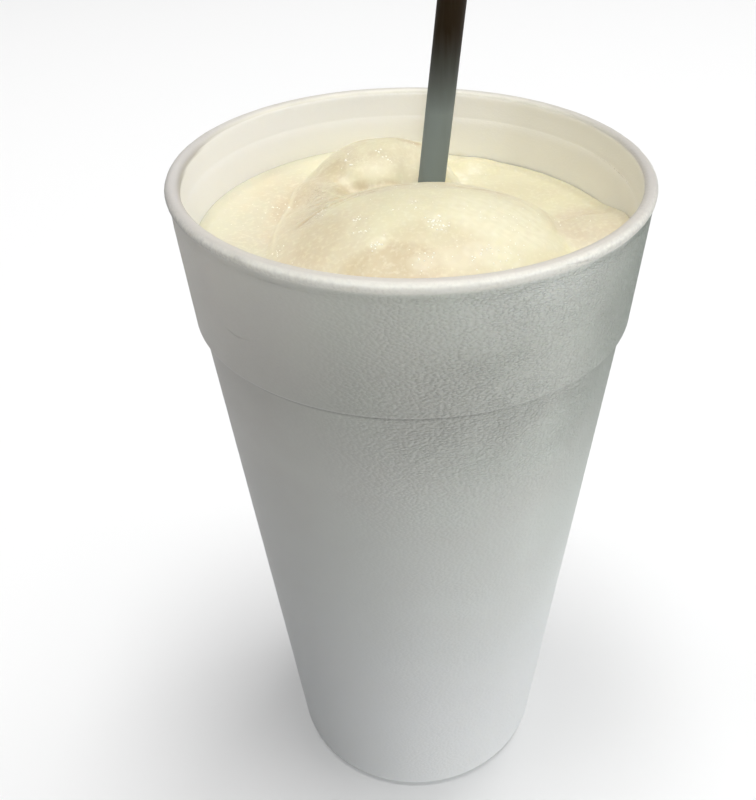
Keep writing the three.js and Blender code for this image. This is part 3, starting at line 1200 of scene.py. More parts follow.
    def draw_section(self) -> bpy.types.Object:
        """Draws the section as a chain of edges, by pulling one vertex from point to point.

        Returns:
            The section's mesh, which is left in edit mode.
        """
        leave_edit_mode()
        bpy.ops.mesh.primitive_plane_add(size=MM)
        cup = bpy.context.object
        cup.name = "foam_cup"
        edit_all()
        bpy.ops.mesh.merge(type="CENTER")
        points = [Vector((radius, 0, level)) for radius, level in self.section()]
        bpy.ops.transform.translate(value=points[0])
        for here, there in zip(points, points[1:]):
            bpy.ops.mesh.extrude_region_move(TRANSFORM_OT_translate={"value": there - here})
        return cup

    def turn_section(self, cup: bpy.types.Object) -> None:
        """Turns the section once round the axis, and closes its poles.

        Args:
            cup: The section's mesh.
        """
        bpy.ops.mesh.select_all(action="SELECT")
        bpy.ops.mesh.spin(steps=self.sides, angle=2 * math.pi, center=(0, 0, 0), axis=(0, 0, 1))
        close_and_smooth(cup, weld=0.005 * MM, sharp_degrees=50)

    def make_uneven(self, cup: bpy.types.Object) -> None:
        """Gives the wall the small unevenness of soft foam, and its dents.

        Args:
            cup: The cup's mesh.
        """
        places = places_of(cup)
        x, y, level = places.T
        radius = np.hypot(x, y)
        azimuth = np.degrees(np.arctan2(y, x))
        outward = self.sway(azimuth, level)
        outside = radius > self.inner_radius(level) + self.wall / 2
        for mark in self.marks:
            outward += np.where(outside, mark.at(azimuth, level, radius), 0)
        around = np.radians(azimuth) * self.rim_radius
        rim_part = eased((level - self.fine_above) / self.rim_fade)
        bead_part = eased((level - self.groove_level) / self.bead_fade)
        uneven = self.rim_ripple.over(around, level) * rim_part
        uneven += self.bead_ripple.over(around, level) * bead_part
        facing = np.cos(np.radians(azimuth - self.groove_middle))
        groove_part = eased((facing + self.groove_onset) / (1 + self.groove_onset))
        groove = self.groove_depth * hump(level - self.groove_level, self.groove_height) * groove_part
        outward += np.where(outside, uneven - groove, 0)
        share = np.where(radius > self.foot_ring_width, outward / np.maximum(radius, MM), 0)
        near_rim = eased((level - self.lip_level) / self.rim_fade)
        wave = (np.cos(2 * np.radians(azimuth) - self.rim_wave_start) - 1) / 2
        lift = self.rim_wave * near_rim * wave
        move_to(cup, np.column_stack((x * (1 + share), y * (1 + share), level + lift)))

    def note_sides(self, cup: bpy.types.Object, edge_level: Callable[[np.ndarray], np.ndarray]) -> None:
        """Keeps which parts are inside and which are the bead, and where the shake's edge lies.

        Args:
            cup: The cup's mesh.
            edge_level: Gives the level of the shake's edge at each azimuth.
        """
        x, y, level = places_of(cup).T
        radius = np.hypot(x, y)
        outside = radius > self.inner_radius(level) + self.wall / 2
        turn = np.degrees(np.arctan2(level - self.bead_centre[1], radius - self.bead_centre[0]))
        turn = np.where(turn < -90, turn + 360, turn)
        on_bead = level > self.bead_centre[1] - 2 * self.bead_radius
        near_left = self.bead_foot_left.share(x) * self.bead_foot_near.share(y)
        bead_foot = self.bead_centre[1] + between(self.bead_foot_shift, -self.bead_foot_shift, near_left)
        under_bead = eased((bead_foot - level) / self.bead_foot_soft + self.bead_onset)
        towards_axis = np.where(radius < self.bead_centre[0], under_bead, 0)
        inside = eased(np.where(level > self.lip_level, towards_axis, ~outside))
        inside = np.where(level > self.floor_level / 2, inside, 0)
        crease_level = self.bead_centre[1] - self.bead_radius
        keep_numbers(cup, "inside", inside)
        keep_numbers(cup, "bead_turn", np.where(on_bead, turn, 0))
        keep_numbers(cup, "bead", eased((level - crease_level) / self.bead_radius + self.bead_onset))
        keep_numbers(cup, "shake_edge", edge_level(np.degrees(np.arctan2(y, x))))

    def build(self, edge_level: Callable[[np.ndarray], np.ndarray]) -> None:
        """Builds the cup and dresses it, with the shake's film above the level of its edge.

        Args:
            edge_level: Gives the level of the shake's edge at each azimuth.
        """
        cup = self.draw_section()
        self.turn_section(cup)
        self.make_uneven(cup)
        self.note_sides(cup, edge_level)
        finish_piece(cup, FoamFinish().material(), node="cup")


@dataclass
class Straw:
    """The open straw, which leans to the right and stands in the shake."""

    radius: float = 3.45 * MM
    wall: float = 0.5 * MM
    length: float = 260 * MM
    lean_right: float = 0.102
    lean_near: float = 0.02
    passes: Place = (4.85 * MM, 20.6 * MM, 171.3 * MM)
    foot_level: float = 13 * MM
    sides: int = 64
    rows: int = 60
    end_round: float = 0.12 * MM

    def __post_init__(self) -> None:
        """Works out the straw's axis and its foot."""
        self.axis = Vector((self.lean_right, -self.lean_near, 1)).normalized()
        through = Vector(self.passes)
        self.foot = through - self.axis * ((through.z - self.foot_level) / self.axis.z)

    def distance(self, places: np.ndarray) -> np.ndarray:
        """Measures how far some places are from the straw's axis.

        Args:
            places: The places, one row each.

        Returns:
            The distance of each place.
        """
        offset = places - np.array(self.foot)
        along = offset @ np.array(self.axis)
        return np.linalg.norm(offset - along[:, None] * np.array(self.axis), axis=1)

    def rod(self, name: str, radius: float, start: float, end: float, closed: bool) -> bpy.types.Object:
        """A round rod or tube skin along the straw's axis.

        Args:
            name: Its name.
            radius: Its radius.
            start: Where it starts, measured from the straw's foot.
            end: Where it ends, measured from the straw's foot.
            closed: Whether its ends are closed.

        Returns:
            The rod, with its place in its mesh.
        """
        leave_edit_mode()
        middle = self.foot + self.axis * (start + end) / 2
        turn = Vector((0, 0, 1)).rotation_difference(self.axis).to_euler()
        bpy.ops.mesh.primitive_cylinder_add(
            vertices=self.sides, radius=radius, depth=end - start, location=middle, rotation=turn,
            end_fill_type="NGON" if closed else "NOTHING",
        )
        rod = bpy.context.object
        rod.name = name
        bpy.ops.object.transform_apply(location=True, rotation=True, scale=True)
        return rod

    def build(self) -> None:
        """Builds the straw and dresses it."""
        straw = self.rod("straw_tube", self.radius, 0, self.length, closed=False)
        for row in range(1, self.rows):
            edit_all()
            place = self.foot + self.axis * self.length * row / self.rows
            bpy.ops.mesh.bisect(plane_co=place, plane_no=self.axis)
        bpy.ops.object.mode_set(mode="OBJECT")
        apply_modifier(straw, "SOLIDIFY", thickness=self.wall, offset=-1, use_even_offset=True)
        apply_modifier(straw, "BEVEL", width=self.end_round, segments=2, angle_limit=math.radians(60))
        close_and_smooth(straw, weld=0.002 * MM, sharp_degrees=50)
        finish_piece(straw, StrawFinish().material(), node="straw")


@dataclass(frozen=True)
class Mound:
    """An oval cap of shake: its middle, half widths, turn in degrees, top, rise and fullness."""

    at: Point
    half: Point
    turn: float
    top: float
    rise: float
    fullness: float
    soft: float

    def level(self, x: np.ndarray, y: np.ndarray) -> np.ndarray:
        """Works out the cap's level over some places.

        Args:
            x: Places to the right.
            y: Places to the far side.

        Returns:
            The level over each place.
        """
        turn = math.radians(self.turn)
        dx = x - self.at[0] * MM
        dy = y - self.at[1] * MM
        u = (dx * math.cos(turn) + dy * math.sin(turn)) / (self.half[0] * MM)
        v = (dy * math.cos(turn) - dx * math.sin(turn)) / (self.half[1] * MM)
        inside = np.maximum(1 - u * u - v * v, 0)
        return (self.top - self.rise * (1 - inside**self.fullness)) * MM


@dataclass(frozen=True)
class Fold:
    """A sunken fold or a ridge in the shake, along a smooth path of places in millimetres.

    Its push is how far it lifts the surface, its lip is a second push beside it, and its tone is how
    much painted shade it carries along its line, or how much paler it is where that is negative. The
    lip's place and width are counted in the fold's own width.
    """

    path: tuple[Point, ...]
    push: float
    width: float
    lip: float = 0.0
    tone: float = 0.0
    widths_reached: float = 5.0
    fading_share: float = 0.25
    lip_place: float = 1.6
    lip_width: float = 1.3

    def curve(self, steps: int = 8) -> np.ndarray:
        """Draws a smooth line through the path's places.

        Args:
            steps: How many points it has from one place to the next.

        Returns:
            The line's points, in metres.
        """
        points = [self.path[0], *self.path, self.path[-1]]
        line = []
        for a, b, c, d in zip(points, points[1:], points[2:], points[3:]):
            for i in range(steps):
                t = i / steps
                weights = (2 * t**2 - t - t**3, 2 - 5 * t**2 + 3 * t**3, t + 4 * t**2 - 3 * t**3, t**3 - t**2)
                for parts in zip(a, b, c, d):
                    line.append(sum(weight * part for weight, part in zip(weights, parts)) / 2)
        line.extend(self.path[-1])
        return np.array(line).reshape(-1, 2) * MM

    def lift_and_tone(self, x: np.ndarray, y: np.ndarray) -> tuple[np.ndarray, np.ndarray]:
        """Works out how far the fold lifts the surface, and how dark it makes it.

        Args:
            x: Places to the right.
            y: Places to the far side.

        Returns:
            The lift and the tone at each place.
        """
        line = self.curve()
        width = self.width * MM
        reach = self.widths_reached * width
        low = line.min(axis=0) - reach
        high = line.max(axis=0) + reach
        near = (x > low[0]) & (x < high[0]) & (y > low[1]) & (y < high[1])
        lift = np.zeros(x.shape)
        tone = np.zeros(x.shape)
        lift[near], tone[near] = self.profile(line, x[near], y[near])
        return lift, tone

    def profile(self, line: np.ndarray, x: np.ndarray, y: np.ndarray) -> tuple[np.ndarray, np.ndarray]:
        """The lift and the tone over places near the fold's line.

        Args:
            line: The fold's path as points.
            x: Places to the right.
            y: Places to the far side.

        Returns:
            The lift and the tone at each place.
        """
        width = self.width * MM
        nearest = np.full(x.shape, 1.0)
        signed = np.zeros(x.shape)
        share = np.zeros(x.shape)
        for i, (a, b) in enumerate(zip(line, line[1:])):
            step = b - a
            along = np.clip(((x - a[0]) * step[0] + (y - a[1]) * step[1]) / (step @ step), 0, 1)
            dx = x - a[0] - along * step[0]
            dy = y - a[1] - along * step[1]
            distance = np.hypot(dx, dy)
            closer = distance < nearest
            nearest = np.where(closer, distance, nearest)
            signed = np.where(closer, np.sign(step[0] * dy - step[1] * dx) * distance, signed)
            share = np.where(closer, (i + along) / (len(line) - 1), share)
        fade = eased(share / self.fading_share) * eased((1 - share) / self.fading_share)
        middle = hump(nearest, width) * fade
        beside = hump(signed - self.lip_place * width, self.lip_width * width) * fade
        return (self.push * middle + self.lip * beside) * MM, self.tone * middle


@dataclass(frozen=True)
class Patch:
    """An oval patch of the surface: its middle and half widths in millimetres, and its strength."""

    at: Point
    half: Point
    strength: float
    fullness: float = 1.5

    def share(self, x: np.ndarray, y: np.ndarray) -> np.ndarray:
        """Works out how far some places are in the patch.

        Args:
            x: Places to the right.
            y: Places to the far side.

        Returns:
            The share of each place, from 0 to the patch's strength.
        """
        u = (x - self.at[0] * MM) / (self.half[0] * MM)
        v = (y - self.at[1] * MM) / (self.half[1] * MM)
        return self.strength * eased(self.fullness * (1 - u * u - v * v))


@dataclass(frozen=True)
class Crinkles:
    """Torn, stringy ridges in an oval of the surface, where the left fold runs under the dome."""

    at: Point = (-20.5 * MM, 9 * MM)
    half: Point = (5 * MM, 9 * MM)
    lean: float = 0.32
    pitch: float = 1.7 * MM
    height: float = 0.22 * MM
    sway: Ripple = Ripple(0.5 * MM, 4 * MM, seed=11)
    unevenness: Ripple = Ripple(0.4, 3 * MM, seed=12)

    def lift(self, x: np.ndarray, y: np.ndarray) -> np.ndarray:
        """Works out how far the ridges lift the surface.

        Args:
            x: Places to the right.
            y: Places to the far side.

        Returns:
            The lift at each place.
        """
        dx = x - self.at[0]
        dy = y - self.at[1]
        across = dx - self.lean * dy + self.sway.over(x, y)
        strength = 1 - self.unevenness.height + self.unevenness.over(x, y)
        ridges = np.sin(2 * math.pi * across / self.pitch) * strength
        return self.height * hump(dx, self.half[0]) * hump(dy, self.half[1]) * ridges


@dataclass
class Milkshake:
    """The thick shake: its mounds, folds and froth, and the solid under them."""

    cup: FoamCup
    straw: Straw
    pool_middle_level: float = 163 * MM
    cells: int = 290
    climb_height: float = 0.9 * MM
    climb_width: float = 3.2 * MM
    calm_edge_share: float = 1 / 12
    reach_into_wall: float = 0.05 * MM
    clear_of_wall: float = 0.1 * MM
    first_ring_level: float = 157 * MM
    foot_bevel_share: float = 0.3
    hole_slack: float = 0.02 * MM
    hole_below: float = 0.3 * MM
    rolling: Ripple = Ripple(0.22 * MM, 13 * MM, seed=1)
    waviness: Ripple = Ripple(0.07 * MM, 5 * MM, seed=2)
    graininess: Ripple = Ripple(0.015 * MM, 1.7 * MM, seed=3, waves=24)
    froth_relief: Ripple = Ripple(0.09 * MM, 1.1 * MM, seed=4, waves=24)
    ragged_edges: Ripple = Ripple(1.0, 2.2 * MM, seed=21)
    # The shake turns paler near the wall on the left.
    ragged_loss: float = 0.4
    paler_by_wall: float = 0.15
    paler_near_wall: Ramp = Ramp(41 * MM, 50 * MM)
    paler_on_left: Ramp = Ramp(-5 * MM, -25 * MM)
    deepest_painted_shade: float = 0.7
    crinkles: Crinkles = Crinkles()
    wall_levels: tuple[Point, ...] = (
        (-180, 167.5), (-90, 166), (-35, 166.5), (4, 168.5), (30, 163.4),
        (58, 161), (95, 167), (116, 168), (150, 167.8), (180, 167.5),
    )
    mounds: tuple[Mound, ...] = (
        Mound((3.5, -7.5), (39, 33), 3, 179, 17, 0.66, 2.2),
        Mound((-8, 31), (21, 16.5), 8, 178, 14, 0.68, 2.4),
        Mound((1.5, 35), (8, 14), -5, 175, 10, 0.65, 1.4),
        Mound((-25, 3), (10.5, 25), -8, 170.4, 8, 0.8, 2.8),
        Mound((-22, 20), (10, 13), 25, 172.0, 8, 0.8, 3.4),
        Mound((45, -5), (18, 15), 12, 171.2, 8, 0.7, 3.2),
        Mound((17, 43), (11, 7.5), -15, 167.4, 9, 0.8, 2.6),
    )
    folds: tuple[Fold, ...] = (
        Fold(
            ((-32.5, -15), (-32.8, -6.8), (-32.8, 1.4), (-31.8, 10.7), (-30, 24), (-28, 33)),
            push=0.2, width=0.6, lip=-0.15, tone=-0.35,
        ),
        Fold(
            ((-28, -6), (-25.6, -3.6), (-23.5, -1.5), (-20, 0.8), (-16.3, 2), (-12.2, 4.4)),
            push=-0.4, width=0.55, lip=0.2, tone=0.5,
        ),
        Fold(
            ((-16.3, 2), (-12.2, 4.8), (-7.8, 5.6), (-3.5, 5.5), (2, 6)),
            push=-0.3, width=0.6, lip=0.1, tone=0.62,
        ),
        Fold(
            ((-24.5, 1), (-21, 4.6), (-17, 7.5), (-13, 9.5)),
            push=-0.35, width=0.5, lip=0.25, tone=0.3,
        ),
        Fold(
            ((-26, 6), (-22.5, 9), (-19, 12), (-15, 14)),
            push=-0.3, width=0.5, lip=0.25, tone=0.25,
        ),
        Fold(
            ((-19.5, -3.5), (-15.5, -0.6), (-11.5, 1.6), (-7, 2.6)),
            push=-0.18, width=0.45, lip=0.12, tone=0.25,
        ),
        Fold(
            ((5.8, 4.6), (10, 3.5), (14, 3.2), (18, 4.2), (22, 5), (26, 5.6)),
            push=-0.15, width=0.55, lip=0.1, tone=0.4,
        ),
        Fold(
            ((22, 5), (26, 5.6), (30, 3.8), (32.2, -1), (32.6, -7), (31.5, -12)),
            push=0.25, width=0.6, lip=-0.2, tone=0.2,
        ),
        Fold(
            ((24, 0), (27.5, -2), (29.5, -6), (29.8, -11)),
            push=0.12, width=0.7, lip=0.1, tone=-0.3,
        ),
        Fold(
            ((32.9, -5), (37, 1.5), (41, 7), (44, 10.5), (47.5, 13.5)),
            push=0.15, width=0.8, lip=-0.2, tone=0.3,
        ),
        Fold(
            ((-1.6, 31), (-1.6, 26), (-2, 20), (-2.4, 15)),
            push=-0.5, width=2.4, lip=0.0, tone=0.16,
        ),
        Fold(
            ((-24, 32), (-25.8, 24), (-26.4, 12), (-27, 0), (-28.3, -10)),
            push=-0.3, width=2.2, lip=0.0, tone=0.12,
        ),
        Fold(
            ((-17, 33.5), (-13, 35), (-9, 35.6), (-4, 35.8), (0, 34.8), (3, 33.5)),
            push=-0.1, width=1.6, lip=0.0, tone=0.75,
        ),
    )
    frothy_patches: tuple[Patch, ...] = (
        Patch((17, -25), (8, 4), 0.4),
        Patch((2, -28.5), (4, 2.4), 0.3),
        Patch((9, -27), (6, 3), 0.2),
        Patch((-7.5, -22.3), (2.6, 2.4), 0.5),
        Patch((5.2, -17), (3.2, 4.2), 0.45),
        Patch((19, -12), (15, 12), 0.4),
        Patch((11, 34), (5, 7), 0.6),
    )
    warm_patches: tuple[Patch, ...] = (
        Patch((-29, 6), (10, 30), 0.9),
        Patch((-22, -18), (16, 15), 0.8),
        Patch((-20, 26), (7, 10), 0.6),
        Patch((43, 0), (14, 18), 0.85),
        Patch((0, 4), (30, 5), 0.5),
        Patch((8, -38), (30, 8), 0.6),
        Patch((-36, 12), (9, 22), 0.4),
    )
    # Painted shade, which is added to the folds' painted shade.
    painted_shade_patches: tuple[Patch, ...] = (
        Patch((-33, 26), (10, 13), 0.15),
        Patch((27, 25), (13, 9), 0.1),
        Patch((-9, 27), (12, 9), 0.1),
        Patch((-8, 24.5), (5, 3.5), 0.28),
        Patch((-14.5, 16.2), (7.5, 3.6), 0.55),
        Patch((-5, 16.4), (8, 3.4), 0.5),
        Patch((-32, 14), (4, 8), 0.25),
        Patch((-21, 23), (5, 5), 0.4),
        Patch((-2, 35), (5, 3.5), 0.45),
        Patch((-21, -15), (7, 9), 0.18),
        Patch((5, -26), (16, 12), 0.28),
        Patch((-4, -29), (14, 8), 0.62),
    )
    stringy_patches: tuple[Patch, ...] = (
        Patch((-21, 9), (7, 12), 1.0),
        Patch((-24, -3), (6, 6), 0.8),
        Patch((-13, 4), (9, 4), 0.7),
        Patch((-27, 26), (6, 12), 0.35),
        Patch((-12, 28), (9, 7), 0.25),
        Patch((15, 2), (18, 4), 0.3),
    )

    def wall_level(self, azimuth: np.ndarray) -> np.ndarray:
        """Works out the shake's level at the wall, eased from each stated azimuth to the next.

        Args:
            azimuth: The azimuths of some places.

        Returns:
            The level at each azimuth.
        """
        level = np.zeros_like(azimuth)
        for (a, low), (b, high) in zip(self.wall_levels, self.wall_levels[1:]):
            here = (azimuth >= a) & (azimuth <= b)
            level = np.where(here, low + (high - low) * eased((azimuth - a) / (b - a)), level)
        return level * MM

    def edge_radius(self, azimuth: np.ndarray) -> np.ndarray:
        """The radius at which the shake's surface ends, just inside the wall's skin."""
        level = self.wall_level(azimuth)
        return self.cup.inner_radius(level) + self.cup.sway(azimuth, level) + self.reach_into_wall

    def covered(
        self, patches: tuple[Patch, ...], x: np.ndarray, y: np.ndarray, ragged: float,
    ) -> np.ndarray:
        """How much of some patches each place has.

        Args:
            patches: The patches.
            x: Places to the right.
            y: Places to the far side.
            ragged: How ragged their edges are.

        Returns:
            The share at each place, from 0 to 1.
        """
        share = np.zeros_like(x)
        for patch in patches:
            share = np.maximum(share, patch.share(x, y))
        return np.clip(share * (1 + ragged * (self.ragged_edges.over(x, y) - self.ragged_loss)), 0, 1)

    def froth(self, x: np.ndarray, y: np.ndarray) -> np.ndarray:
        """How frothy each place is, from 0 to 1."""
        return self.covered(self.frothy_patches, x, y, ragged=0.5)

    def level(self, x: np.ndarray, y: np.ndarray, share: np.ndarray) -> np.ndarray:
        """Works out the level of the shake's surface.

        Args:
            x: Places to the right.
            y: Places to the far side.
            share: How far each place is on its way from the middle to the wall, from 0 to 1.

        Returns:
            The level over each place.
        """
        azimuth = np.degrees(np.arctan2(y, x))
        level = self.pool_middle_level + (self.wall_level(azimuth) - self.pool_middle_level) * share
        for mound in self.mounds:
            level = soft_maximum(mound.level(x, y), level, mound.soft * MM)
        from_wall = (1 - share) * self.edge_radius(azimuth)
        level = level + self.climb_height * eased(1 - from_wall / self.climb_width) ** 2
        relief = sum(fold.lift_and_tone(x, y)[0] for fold in self.folds) + self.crinkles.lift(x, y)
        relief += self.rolling.over(x, y) + self.waviness.over(x, y) + self.graininess.over(x, y)
        relief += self.froth(x, y) * self.froth_relief.over(x, y)
        return level + relief * eased((1 - share) / self.calm_edge_share)

    def level_at(self, x: np.ndarray, y: np.ndarray) -> np.ndarray:
        """The level over places given by x and y alone."""
        share = np.hypot(x, y) / self.edge_radius(np.degrees(np.arctan2(y, x)))
        return self.level(x, y, np.clip(share, 0, 1))

    def spread_surface(self) -> bpy.types.Object:
        """Makes a fine grid, drawn into a disc that meets the wall and raised to the shake's surface.

        Returns:
            The shake's mesh, with its surface alone.
        """
        leave_edit_mode()
        bpy.ops.mesh.primitive_grid_add(x_subdivisions=self.cells, y_subdivisions=self.cells, size=2)
        shake = bpy.context.object
        shake.name = "shake_body"
        a, b, _ = places_of(shake).T
        share = np.maximum(np.abs(a), np.abs(b))
        wide = np.abs(a) >= np.abs(b)
        ratio = np.where(wide, b, a) / np.where(share > 0, np.where(wide, a, b), 1)
        turn = np.where(wide, ratio * math.pi / 4, math.pi / 2 - ratio * math.pi / 4)
        turn += np.where(np.where(wide, a, b) < 0, math.pi, 0)
        azimuth = (np.degrees(turn) + 180) % 360 - 180
        radius = share * self.edge_radius(azimuth)
        x = radius * np.cos(turn)
        y = radius * np.sin(turn)
        move_to(shake, np.column_stack((x, y, self.level(x, y, share))))
        return shake

    def underside_rings(self) -> list[Point]:
        """Works out the rings of the shake's underside, from under its edge down to the floor.

        Returns:
            The radius and the level of each ring.
        """
        cup = self.cup
        bottom = cup.floor_level + self.clear_of_wall
        round_level = bottom + cup.floor_round
        half_way = between(round_level, cup.ledge_level, 0.5)
        widening_top = cup.ledge_level + 2 * cup.ledge_width
        levels = (self.first_ring_level, widening_top, cup.ledge_level, half_way, round_level)
        rings = [(float(cup.inner_radius(level)) - self.clear_of_wall, level) for level in levels]
        round_radius = rings[-1][0]
        bevel = self.foot_bevel_share * cup.floor_round
        return [*rings, (round_radius - bevel, bottom + bevel), (round_radius - cup.floor_round, bottom)]

    def close_underside(self, shake: bpy.types.Object) -> None:
        """Carries the surface's edge down the inside of the cup and closes it on the floor.

        Args:
            shake: The shake's mesh.
        """
        wide = float(np.hypot(*places_of(shake).T[:2]).max())
        high = self.pool_middle_level
        edit_all()
        bpy.ops.mesh.region_to_loop()
        for radius, level in self.underside_rings():
            bpy.ops.mesh.extrude_edges_move(TRANSFORM_OT_translate={"value": (0, 0, level - high)})
            bpy.ops.transform.resize(value=(radius / wide, radius / wide, 0), center_override=(0, 0, level))
            wide = radius
            high = level
        bpy.ops.mesh.edge_face_add()
        bpy.ops.object.mode_set(mode="OBJECT")

    def cut_for_straw(self, shake: bpy.types.Object) -> None:
        """Cuts the hole that the straw makes in the shake.

        Args:
            shake: The shake's mesh.
        """
        wide = self.straw.radius + self.hole_slack
        cutter = self.straw.rod("straw_hole", wide, -self.hole_below, self.straw.length, closed=True)
        leave_edit_mode()
        shake.select_set(True)
        bpy.context.view_layer.objects.active = shake
        apply_modifier(shake, "BOOLEAN", operation="DIFFERENCE", object=cutter, solver="MANIFOLD")
        bpy.data.objects.remove(cutter)

    def note_looks(self, shake: bpy.types.Object) -> None:
        """Keeps where the shake is frothy or paler by the wall, warmer in colour, stringy, or darkened with
        painted shade.

        Args:
            shake: The shake's mesh.
        """
        x, y, level = places_of(shake).T
        on_top = level > self.cup.ledge_level
        tone = sum(fold.lift_and_tone(x, y)[1] for fold in self.folds)
        by_wall = self.paler_near_wall.share(np.hypot(x, y)) * self.paler_on_left.share(x)
        darkening = self.covered(self.painted_shade_patches, x, y, ragged=0.1)
        looks = {
            "froth": np.maximum(np.maximum(self.froth(x, y), -tone), self.paler_by_wall * by_wall),
            "warmth": self.covered(self.warm_patches, x, y, ragged=0.15),
            "strings": self.covered(self.stringy_patches, x, y, ragged=0.3),
            "painted_shade": np.clip(tone + darkening, 0, self.deepest_painted_shade),
        }
        for name, share in looks.items():
            keep_numbers(shake, name, np.where(on_top, share, 0))

    def build(self) -> None:
        """Builds the shake and dresses it."""
        shake = self.spread_surface()
        self.close_underside(shake)
        close_and_smooth(shake, weld=0.001 * MM, sharp_degrees=60)
        self.cut_for_straw(shake)
        bpy.ops.object.shade_smooth_by_angle(angle=math.radians(60))
        self.note_looks(shake)
        finish_piece(shake, ShakeFinish().material(), node="milkshake")


@dataclass(frozen=True)
class Cluster:
    """A group of small bubbles: its middle and spread in millimetres, how many, and how large."""

    at: Point
    spread: float
    count: int
    largest: float


@dataclass
class Bubbles:
    """Small bubbles and ice grains that sit half sunk in the shake's surface."""

    shake: Milkshake
    smallest: float = 0.1
    sunk: float = 0.45
    gathered: float = 0.6
    size_power: float = 1.6
    clear_of_straw: float = 1.2 * MM
    within: float = 49 * MM
    seed: int = 5
    clusters: tuple[Cluster, ...] = (
        Cluster((5.4, -16.5), 2.6, 26, 0.3),
        Cluster((-7.8, -22.3), 1.8, 14, 0.26),
        Cluster((-12.2, -13.5), 1.6, 9, 0.3),
        Cluster((-11.5, -17.5), 1.5, 6, 0.26),
        Cluster((-32.7, 15.5), 2.6, 8, 0.34),
        Cluster((-31.5, -11), 1.6, 8, 0.24),
        Cluster((-17, 23.5), 2.2, 7, 0.34),
        Cluster((-7.5, 26), 2.8, 9, 0.3),
        Cluster((-22, -3), 2.2, 8, 0.26),
        Cluster((0.5, -9.6), 3.5, 8, 0.28),
        Cluster((17, -25), 5.5, 36, 0.24),
        Cluster((2, -28.5), 2.8, 16, 0.22),
        Cluster((20, -15), 9.0, 26, 0.2),
        Cluster((0, 0), 26.0, 50, 0.16),
        Cluster((40, 0), 5.0, 8, 0.24),
        Cluster((-38, 10), 8.0, 12, 0.18),
    )

    def scatter(self) -> tuple[np.ndarray, np.ndarray, np.ndarray]:
        """Draws each bubble's place and radius, clear of the wall and the straw.

        Returns:
            The places to the right, the places to the far side, and the radii.
        """
        draw = np.random.default_rng(self.seed)
        x, y, radius = [], [], []
        for cluster in self.clusters:
            spread = cluster.spread * self.gathered
            x.append((cluster.at[0] + draw.normal(0, spread, cluster.count)) * MM)
            y.append((cluster.at[1] + draw.normal(0, spread, cluster.count)) * MM)
            share = draw.power(self.size_power, cluster.count)
            radius.append(between(self.smallest, cluster.largest, share) * MM)
        x, y, radius = (np.concatenate(values) for values in (x, y, radius))
        places = np.column_stack((x, y, self.shake.level_at(x, y)))
        clear = self.shake.straw.distance(places) > self.shake.straw.radius + self.clear_of_straw
        clear &= np.hypot(x, y) < self.within
        return x[clear], y[clear], radius[clear]

    def build(self) -> None:
        """Builds the bubbles as one piece and dresses them."""
        x, y, radius = self.scatter()
        leave_edit_mode()
        bpy.ops.mesh.primitive_uv_sphere_add(segments=10, ring_count=6, radius=1)
        bubbles = bpy.context.object
        bubbles.name = "shake_bubbles"
        unit = places_of(bubbles)
        apply_modifier(bubbles, "ARRAY", count=len(x), use_relative_offset=False)
        centre = np.column_stack((x, y, self.shake.level_at(x, y) - self.sunk * radius))
        places = centre[:, None, :] + unit[None, :, :] * radius[:, None, None]
        move_to(bubbles, places.reshape(-1, 3))
        bpy.ops.object.shade_smooth()
        finish_piece(bubbles, BubbleFinish().material())


@dataclass(frozen=True)
class Viewpoint:
    """Where the photograph was taken from, and how its frame sits round the cup."""

    back: float = 216.93 * MM
    height: float = 274.88 * MM
    pitch: float = 33.142
    yaw: float = 1.762
    roll: float = 0.409
    frame_width: int = 756
    frame_height: int = 800
    focal_pixels: float = 1000
    axis_pixel: Point = (440, 350)
    sensor: float = 36
    nearest: float = 10 * MM

    def build(self) -> None:
        """Places the camera."""
        data = bpy.data.cameras.new("camera")
        data.sensor_width = self.sensor
        data.lens = self.focal_pixels * self.sensor / self.frame_height
        data.shift_x = (self.frame_width / 2 - self.axis_pixel[0]) / self.frame_height
        data.shift_y = (self.axis_pixel[1] - self.frame_height / 2) / self.frame_height
        data.clip_start = self.nearest
        camera = bpy.data.objects.new("camera", data)
        turn = Matrix.Rotation(math.radians(-self.yaw), 4, "Z")
        tilt = Matrix.Rotation(math.radians(90 - self.pitch), 4, "X")
        roll = Matrix.Rotation(math.radians(self.roll), 4, "Z")
        camera.matrix_world = Matrix.Translation((0, -self.back, self.height)) @ turn @ tilt @ roll
        bpy.context.scene.collection.objects.link(camera)
        bpy.context.scene.camera = camera


@dataclass(frozen=True)
class SoftBox:
    """A square soft light on the cup: its direction, distance, size and power, and how wide it shines."""

    name: str
    azimuth: float
    elevation: float
    distance: float
    size: float
    power: float
    looks_at: Place = (0, 0, 90 * MM)
    spread: float = 180

    def build(self) -> None:
        """Hangs the light and turns it to the place that it looks at."""
        data = bpy.data.lights.new(self.name, "AREA")
        data.shape = "SQUARE"
        data.size = self.size
        data.energy = self.power
        data.spread = math.radians(self.spread)
        light = bpy.data.objects.new(self.name, data)
        light.visible_camera = False
        away = direction(self.azimuth, self.elevation)
        light.location = Vector(self.looks_at) + away * self.distance
        light.rotation_euler = away.to_track_quat("Z", "Y").to_euler()
        bpy.context.scene.collection.objects.link(light)


